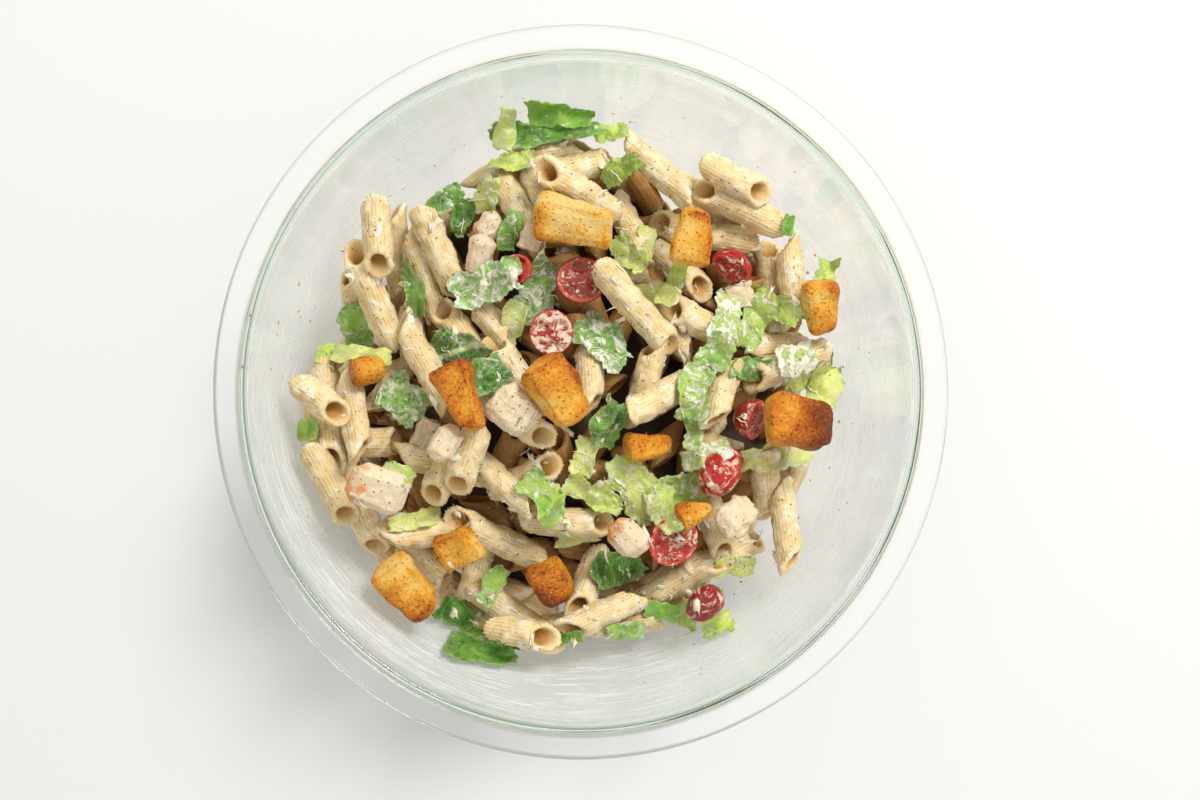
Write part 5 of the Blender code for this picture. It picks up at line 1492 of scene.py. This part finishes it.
def fried_piece(bm, number, toast, edges, side, more, roundness):
    """A cube of bread: bulged, pored and crumbly, and browner at its edges and on one side."""
    shares, own, around = fine_block(bm, roundness, FINEST_CROUTON)
    browned = bm.verts.layers.float.new("browned")
    shift, ahead = Vector((number * 17.0, 5.0, 0)), towards(side)
    middle = sum((corner.co for corner in bm.verts), Vector()) / len(bm.verts)
    for corner, share, spot, out in zip(bm.verts, shares, own, around):
        point = Vector(spot)
        wide, narrow = (noise.noise(point * fineness + shift) for fineness in (0.8, 1.9))
        pore = max(0.0, wide - 0.28) + 0.5 * max(0.0, narrow - 0.25)
        crumb, bulge = noise.noise(point * 2.4 - shift), noise.noise(point * 0.13 + shift)
        corner.co = middle + (corner.co - middle) * CROUTON_SWELL
        corner.co += corner.normal * (CRUMB_HEIGHT * crumb - PORE_DEPTH * pore + BULGE_HEIGHT * bulge)
        edge = max(0.0, (sorted(abs(v) for v in share)[1] - EDGE_AT) / EDGE_WIDE)
        tone = toast + edges * edge**2 * 0.9 + more * float(out @ ahead) + 0.25 * noise.noise(point * 0.14 + shift)
        corner[browned] = max(0.0, min(1.0, tone))
    return bm


def pits(tree, place, scale, width, depth):
    """Small round spots, this many to the metre, each this deep in its middle."""
    cloud = add(tree, "ShaderNodeTexVoronoi", {"Vector": place, "Scale": scale})
    return carried(tree, cloud.outputs["Distance"], 0.10, width, depth, 0.0)


def fried_bread():
    """A fried crust: golden to dark orange by how browned it is, in patches, pits, pale spots and grains."""
    material, tree, shader, place = start_material("toasted_bread", Roughness=0.42, Specular_IOR_Level=0.2)
    patches = mottling(tree, place, 150.0, 7.0, Roughness=0.72)
    grains = mottling(tree, place, 850.0, 4.0, Roughness=0.8)
    pitted = pits(tree, place, 520.0, 0.34, 0.30)
    level = attribute(tree, "browned")["Fac"]
    for more in (
        maths(tree, "MULTIPLY_ADD", patches, 0.7, -0.35), pits(tree, place, 900.0, 0.24, -0.32),
        maths(tree, "MULTIPLY_ADD", grains, 0.9, -0.49),
    ):
        level = maths(tree, "ADD", level, more)
    browning = colour_ramp(
        tree, maths(tree, "ADD", level, pitted, use_clamp=True), (0.0, (0.95, 0.68, 0.24)),
        (0.3, (0.90, 0.45, 0.05)), (0.6, (0.66, 0.20, 0.014)), (0.82, (0.38, 0.085, 0.010)),
        (1.0, (0.17, 0.038, 0.008))
    )
    tree.links.new(browning, shader.inputs["Base Color"])
    rough = maths(tree, "MULTIPLY_ADD", patches, 1.4, grains)
    raised(tree, shader, maths(tree, "MULTIPLY_ADD", pitted, -1.6, rough), 1.0, 0.0009)
    return material


crouton_nodes = nodes_of("crouton_{:02d}", CROUTONS)
croutons = [fried_piece(merged_copy(node), k, *CROUTONS[k]) for k, node in enumerate(crouton_nodes)]
keep_piece(
    "fried_croutons", joined_pieces(croutons, "fried_croutons"), crouton_nodes, fried_bread()
)

# ---------------------------------------------------------------- dressing, pepper and crumbs on the salad
# What was tossed with the pieces and stuck to them: dabs of creamy dressing, thin shreds of hard cheese in it,
# coarse ground pepper and crumbs off the croutons. They lie wherever they landed, so each follows its surface.

LANDED_ON = ("penne_on_top", "penne_under", "lettuce_leaves", "diced_chicken", "tomato_halves", "fried_croutons")
DABS, SHREDS, FLAKES, CRUMBS = 330, 70, 760, 60
DROP_HEIGHT, EDGE_LEFT_BARE = 300.0, 5.0
# A shred's thickness, how far it curls sideways and up and how finely, and how far its ends are drawn out.
SHRED_THICK, SHRED_SIDES, SHRED_STEPS, SHRED_CURLS, SHRED_TAPER = 0.27, 5, 9, ((1.5, 2.4, 0), (0.5, 3.0, 5)), 0.75


def blob(name, radii, number, rough, material, segments, rings):
    """A small closed lump with an uneven outline."""
    bm = bmesh.new()
    bmesh.ops.create_uvsphere(bm, u_segments=segments, v_segments=rings, radius=1.0)
    for corner in bm.verts:
        uneven = 1 + rough * noise.noise(corner.co * 1.8 + Vector((number * 9.0, 0, 0)))
        corner.co = Vector(corner.co[k] * radii[k] * uneven for k in range(3))
    for face in bm.faces:
        face.smooth = True
    return bpy.data.objects.new(name, finished_mesh(bm, name, material))


def blobs(name, numbers, radii, rough, material, segments=6, rings=4, wider=0.0):
    """Several such lumps, each a little wider than the one before it."""
    return kinds_of(f"{name}s", [
        blob(f"{name}_{k}", (radii[0], radii[1] + wider * k, radii[2]), k, rough, material, segments, rings)
        for k in numbers
    ])


def shred(name, length, number, material):
    """A thin curled thread, round in section and closed at its ends."""
    bm = bmesh.new()
    turns = [2 * math.pi * k / SHRED_SIDES for k in range(SHRED_SIDES)]
    rings = []
    for i in range(SHRED_STEPS + 1):
        along = i / SHRED_STEPS - 0.5
        thick = SHRED_THICK * (1 - SHRED_TAPER * abs(2 * along) ** 3)
        y, z = (curl * noise.noise(Vector((along * fineness, number, row))) for curl, fineness, row in SHRED_CURLS)
        rings.append([
            bm.verts.new((along * length, y + thick * math.cos(turn), z + thick * math.sin(turn))) for turn in turns
        ])
    stitched(bm, rings)
    bm.faces.new(rings[0])
    bm.faces.new(rings[-1][::-1])
    bmesh.ops.recalc_face_normals(bm, faces=bm.faces)
    return bpy.data.objects.new(name, finished_mesh(bm, name, material))


def scraps_tree():
    """Sets small things down at their points and roughens each of them a little."""
    tree, given, result = tree_with(
        "lay_scraps", Kinds="Collection", Ragged=0.0002, Grain=0.0011, Material="Material"
    )
    scraps = laid_copies(tree, given)
    grain = add(tree, "ShaderNodeTexNoise", {
        "Vector": add(tree, "GeometryNodeInputPosition").outputs[0], "Detail": 1.0,
        "Scale": maths(tree, "DIVIDE", 1.0, given["Grain"]),
    })
    even = vectors(tree, "SUBTRACT", grain.outputs["Color"], (0.5, 0.5, 0.5))
    moved_and_painted(tree, given, result, scraps, vectors(tree, "SCALE", even, Scale=given["Ragged"]))
    return tree


def plain_tones(name, dark, light, roughness, per_metre=700.0):
    """A simple food surface, mottled between two tones and finely uneven."""
    material, tree, shader, place = start_material(name, Roughness=roughness)
    tones = mottling(tree, place, per_metre, 3.0)
    tree.links.new(mixed(tree, tones, dark, light), shader.inputs["Base Color"])
    raised(tree, shader, tones, 0.5, 0.0003)
    return material


def surfaces():
    """A tree for finding what a thing dropped on the salad lands on."""
    bpy.context.view_layer.update()
    now = bpy.context.evaluated_depsgraph_get()
    return {name: BVHTree.FromObject(bpy.data.objects[name], now) for name in LANDED_ON}


def landed(x, y):
    """Where something dropped here lands: on what, the point and the way the surface faces."""
    start = Vector((x, y, DROP_HEIGHT)) * MM
    hits = [(name, *tree.ray_cast(start, Vector((0, 0, -1)))[:2]) for name, tree in trees.items()]
    hits = [hit for hit in hits if hit[1] is not None]
    if not hits:
        return None
    name, point, normal = max(hits, key=lambda hit: hit[1].z)
    return name, point, normal if normal.z > 0 else -normal


def strewn(count, chances, steepest, pick):
    """Spots at random over the salad. Chances says how likely each surface is to hold one."""
    spots = []
    while len(spots) < count:
        found = landed(*spot_at_random(rng, EDGE_LEFT_BARE))
        chance, kind, size, sink = rng.random(), *pick()
        if found and found[2].z > steepest and chance < chances.get(found[0], 1.0):
            _, point, normal = found
            spin = Matrix.Rotation(rng.uniform(0, 2 * math.pi), 3, "Z")
            facing = normal.to_track_quat("Z", "X").to_matrix() @ spin
            spots.append((point + normal * (sink * MM), facing.to_euler(), kind, size))
    return spots


def dab_size():
    size = 0.25 + 0.85 * rng.random() ** 2.2
    return rng.randrange(4), (size * rng.uniform(0.8, 2.2), size * rng.uniform(0.6, 1.1), size), -0.1


def shred_size():
    return rng.randrange(3), (rng.uniform(0.6, 1.2), 1.0, 1.0), 0.35


def flake_size():
    size = rng.uniform(0.45, 1.0) ** 1.6
    return rng.randrange(3), (size, size * rng.uniform(0.6, 1.0), size), 0.03


def crumb_size():
    size = rng.uniform(0.35, 1.0)
    return rng.randrange(3), (size, size, size), 0.1


def strewn_piece(name, spots, kinds, material, ragged):
    mesh = run_tree(places_for(name, spots), scraps, name, kinds=kinds, material=material, ragged=ragged)
    keep_piece(name, mesh)
    drop_kinds(kinds)


cream = plain_tones("creamy_dressing", (0.86, 0.74, 0.50), (0.95, 0.88, 0.70), 0.30)
cheese = plain_tones("shredded_cheese", (0.88, 0.80, 0.60), (0.94, 0.90, 0.76), 0.42)
ground = plain_tones("ground_pepper", (0.010, 0.008, 0.006), (0.13, 0.075, 0.035), 0.7, 2400.0)
crumb = plain_tones("crouton_crumb", (0.42, 0.14, 0.030), (0.80, 0.42, 0.10), 0.55, 1800.0)
scraps = scraps_tree()
trees = surfaces()
rng = random.Random(33)
strewn_piece(
    "dressing_dabs", strewn(DABS, {"fried_croutons": 0.03, "lettuce_leaves": 0.7}, 0.45, dab_size),
    blobs("dab", range(4), (2.1, 1.3, 0.38), 1.5, cream, 10, 6, 0.2), cream, 0.0009
)
strewn_piece(
    "cheese_shreds", strewn(SHREDS, {"fried_croutons": 0.05}, 0.3, shred_size),
    kinds_of("shreds", [shred(f"shred_{k}", 6.0 + 1.6 * k, k, cheese) for k in range(3)]), cheese,
    0.0004
)
strewn_piece(
    "pepper_flakes", strewn(FLAKES, {"fried_croutons": 0.3}, 0.25, flake_size),
    blobs("flake", range(3), (0.55, 0.42, 0.20), 0.8, ground), ground, 0.0002
)
strewn_piece(
    "crouton_crumbs", strewn(CRUMBS, {}, 0.4, crumb_size),
    blobs("crumb", range(3), (0.8, 0.6, 0.5), 0.9, crumb), crumb, 0.0004
)

# ---------------------------------------------------------------- dressing on the glass
# Tossing left a thin milky film on the inside of the bowl above the salad, drawn out round the wall by the
# spoon, with specks of pepper, crumbs and a few thicker drops in it.

FILM_OFF_GLASS, FILM_THICK, FILM_TURNS, FILM_ROWS = 0.06, 0.10, 240, 26
FILM_TOP, FILM_BELOW_SALAD = 123.0, 16.0
# Towards each side, in degrees: how many streaks there are in the film and how thick the haze between them is.
FILM_SIDES = (
    (0, 0.38, 0.15), (40, 0.25, 0.10), (90, 0.20, 0.15), (140, 0.25, 0.35), (180, 0.55, 0.75), (205, 1.0, 0.90),
    (235, 1.1, 0.90), (270, 0.90, 0.90), (310, 0.50, 0.70), (340, 0.42, 0.30), (360, 0.38, 0.15),
)
# The most haze there is, and how fast the film fades out at its bottom and at its top.
FILM_HAZE, FADES_BELOW, FADES_ABOVE = 0.26, 3.5, 9.0
# Specks and crumbs that stand out: the side in degrees, how far from the axis, and which kind (0 pepper, 1 crumb).
SPECKS = (
    (165, 118, 0), (123, 112, 0), (46, 122, 0), (-30, 105, 0), (-50, 104, 0), (-53, 106, 0), (-21, 103, 0),
    (28, 107, 1), (31, 104, 1), (33, 109, 1), (159, 121, 1), (164, 119, 1), (167, 123, 1), (-62, 108, 1),
)
SPECK_COUNT, DROP_COUNT, SPECK_OFF_GLASS = 90, 34, 0.15
# How far above the salad's edge, and how far in from the mouth, the ones at random begin, and where all end.
SPECKS_ABOVE, SPECKS_BELOW_MOUTH, SPECKS_END = 1.0, 3.0, 2.0


def glass_point(turn, height, off):
    """A point this far in from the inner wall, in millimetres."""
    steep = inner_radius(height + 0.5) - inner_radius(height - 0.5)
    length = math.hypot(1.0, steep)
    radius = inner_radius(height) - off / length
    return Vector((radius * math.cos(turn), radius * math.sin(turn), height + off * steep / length))


def milky_film():
    """The film as a thin closed sheet round the wall, with how much is on it at each point."""
    bm = bmesh.new()
    uv = bm.loops.layers.uv.new("UVMap")
    amount, haze = (bm.verts.layers.float.new(name) for name in ("amount", "haze"))
    sides, streaks, hazes = zip(*FILM_SIDES)

    def line_up(off, turn):
        """The film's corners from its lowest to its highest on one side."""
        low = meets_glass(turn) - FILM_BELOW_SALAD
        streaked, hazy = (float(np.interp(math.degrees(turn), sides, values)) for values in (streaks, hazes))
        line = []
        for share in (j / FILM_ROWS for j in range(FILM_ROWS + 1)):
            corner = bm.verts.new(glass_point(turn, low + (FILM_TOP - low) * share, off))
            fade = min(1.0, FADES_BELOW * share) * min(1.0, FADES_ABOVE * (1 - share))
            corner[amount], corner[haze] = streaked * fade, FILM_HAZE * hazy * fade
            line.append(corner)
        return line

    far, near = (
        [line_up(off, 2 * math.pi * i / FILM_TURNS) for i in range(FILM_TURNS)]
        for off in (FILM_OFF_GLASS, FILM_OFF_GLASS + FILM_THICK)
    )
    for i in range(FILM_TURNS):
        after = (i + 1) % FILM_TURNS
        left, right = i / FILM_TURNS, (i + 1) / FILM_TURNS
        for j in range(FILM_ROWS):
            low, high = j / FILM_ROWS, (j + 1) / FILM_ROWS
            smooth_face(bm, uv, [near[after][j], near[i][j], near[i][j + 1], near[after][j + 1]],
                        [(right, low), (left, low), (left, high), (right, high)])
            smooth_face(bm, uv, [far[i][j], far[after][j], far[after][j + 1], far[i][j + 1]],
                        [(left, low), (right, low), (right, high), (left, high)])
        for j, flip in ((0, 1), (FILM_ROWS, -1)):
            ring = [near[i][j], near[after][j], far[after][j], far[i][j]][::flip]
            smooth_face(bm, uv, ring, [(left, j / FILM_ROWS)] * 4)
    bmesh.ops.recalc_face_normals(bm, faces=bm.faces)
    return finished_mesh(bm, "film_on_glass")


def thin_dressing():
    """Dressing thinned to a film: streaks round the wall, some sharp, some only a haze, the rest clear glass."""
    material, tree, shader, _ = start_material("thin_dressing", Roughness=0.5)
    spot = on_sheet(tree)
    long, fine = (
        add(tree, "ShaderNodeMapping", {"Vector": spot, "Scale": scale, "Rotation": (0, 0, turn)}).outputs[0]
        for scale, turn in (((22.0, 9.0, 1.0), 0.06), ((26.0, 84.0, 1.0), -0.03))
    )
    lines = mottling(tree, fine, 1.0, 5.0, Roughness=0.65)
    soft = carried(tree, mottling(tree, long, 1.0, 4.0, Distortion=0.8), 0.46, 0.72, 0.0, 0.16, "SMOOTHSTEP")
    sharp = carried(tree, lines, 0.56, 0.64, 0.0, 0.62, "SMOOTHSTEP")
    streaked = maths(tree, "MULTIPLY", maths(tree, "MAXIMUM", soft, sharp), attribute(tree, "amount")["Fac"])
    seen = maths(tree, "ADD", streaked, attribute(tree, "haze")["Fac"])
    tree.links.new(mixed(tree, lines, (0.91, 0.97, 0.96), (0.95, 1.0, 1.0)), shader.inputs["Base Color"])
    tree.links.new(seen, shader.inputs["Alpha"])
    let_light_through(tree, shader)
    return material


def on_glass(rng, turn, radius, size):
    """A spot on the inner wall, turned to lie along it."""
    height = float(inner_height(np.array(radius)))
    point, inside = (glass_point(turn, height, off) for off in (SPECK_OFF_GLASS, 1.0 + SPECK_OFF_GLASS))
    facing = (inside - point).normalized().to_track_quat("Z", "X").to_matrix()
    facing = facing @ Matrix.Rotation(rng.uniform(0, 2 * math.pi), 3, "Z")
    return point * MM, facing.to_euler(), 0, size


def specks_on_glass(rng):
    """Pepper, crumbs and drops on the wall: first those that stand out, then the rest at random."""
    peppery, crumbly, drops = [], [], []
    for side, radius, kind in SPECKS:
        size = rng.uniform(0.7, 1.2)
        (crumbly if kind else peppery).append(on_glass(rng, math.radians(side), radius, (size, size, size)))
    for k in range(SPECK_COUNT + DROP_COUNT):
        turn = rng.uniform(0, 2 * math.pi)
        near = reach_towards(turn) + SPECKS_ABOVE
        radius = near + (MOUTH_RADIUS - SPECKS_BELOW_MOUTH - near) * rng.random() ** 2
        radius, size = min(MOUTH_RADIUS - SPECKS_END, radius), rng.uniform(0.3, 0.8)
        if k < SPECK_COUNT:
            (peppery if k % 4 else crumbly).append(on_glass(rng, turn, radius, (size, size, size)))
        else:
            drops.append(on_glass(rng, turn, radius, (size * 0.7, size * 0.5, size * 0.6)))
    return peppery, crumbly, drops


keep_piece("film_on_glass", milky_film(), (), thin_dressing())
peppery, crumbly, drops = specks_on_glass(random.Random(51))
strewn_piece(
    "pepper_on_glass", peppery, blobs("glass_flake", (5,), (0.5, 0.4, 0.2), 0.8, ground), ground,
    0.0002
)
strewn_piece(
    "crumbs_on_glass", crumbly, blobs("glass_crumb", (7,), (0.9, 0.6, 0.5), 0.9, crumb), crumb,
    0.0004
)
strewn_piece(
    "drops_on_glass", drops, blobs("glass_drop", (3,), (2.2, 1.6, 0.4), 0.9, cream, 8, 6), cream,
    0.0009
)

# ---------------------------------------------------------------- table, light and camera
# A plain white table. Soft daylight comes through one large window at the upper right and from the whole sky,
# and the camera looks straight down on the bowl.

TABLE_HALF, LIT_POINT = 4.0, (0, 0, 0.08)
SKY_LIGHT, SKY_MIRRORED, SKY_COLOUR = 0.72, 1.35, (1.0, 0.998, 0.985, 1)
WINDOW_AT, WINDOW_SIZE, WINDOW_WATTS, WINDOW_COLOUR = (0.80, 1.0, 1.45), 0.8, 26.5, (1.0, 0.985, 0.955)
MIDDLE_SEEN, CAMERA_HEIGHT, LENS, SENSOR = (7.4, -3.0), 885.0, 60.0, 36.0


def white_table():
    material, tree, shader, place = start_material("white_table", Roughness=0.7, Specular_IOR_Level=0.2)
    colour = mixed(tree, mottling(tree, place, 3.0, 2.0), (0.775, 0.775, 0.77), (0.795, 0.795, 0.79))
    tree.links.new(colour, shader.inputs["Base Color"])
    bm = bmesh.new()
    bmesh.ops.create_grid(bm, x_segments=4, y_segments=4, size=TABLE_HALF / MM)
    table = into_scene("table", finished_mesh(bm, "table", material))


def window():
    """A large soft lamp aimed at the salad."""
    lamp = bpy.data.lights.new("window", "AREA")
    lamp.shape, lamp.size = "DISK", WINDOW_SIZE
    lamp.energy, lamp.color = WINDOW_WATTS, WINDOW_COLOUR
    thing = into_scene("window", lamp)
    thing.location = WINDOW_AT
    thing.rotation_euler = (Vector(LIT_POINT) - Vector(WINDOW_AT)).to_track_quat("-Z", "Y").to_euler()


def daylight():
    """An even sky, brighter where it is mirrored in the glass or seen through it."""
    world = bpy.data.worlds.new("daylight")
    bpy.context.scene.world = world
    world.use_nodes = True
    tree = world.node_tree
    sky = tree.nodes["Background"].inputs
    sky["Color"].default_value = SKY_COLOUR
    ray = add(tree, "ShaderNodeLightPath").outputs
    mirrored = maths(tree, "MAXIMUM", ray["Is Glossy Ray"], ray["Is Transmission Ray"])
    tree.links.new(carried(tree, mirrored, 0.0, 1.0, SKY_LIGHT, SKY_MIRRORED), sky["Strength"])
    view = bpy.context.scene.view_settings
    view.view_transform, view.look, view.exposure = "Standard", "None", 0.0


def camera_above():
    lens = bpy.data.cameras.new("camera")
    lens.lens, lens.sensor_width = LENS, SENSOR
    camera = into_scene("camera", lens)
    camera.location = (MIDDLE_SEEN[0] * MM, MIDDLE_SEEN[1] * MM, CAMERA_HEIGHT * MM)
    bpy.context.scene.camera = camera


white_table()
daylight()
window()
camera_above()
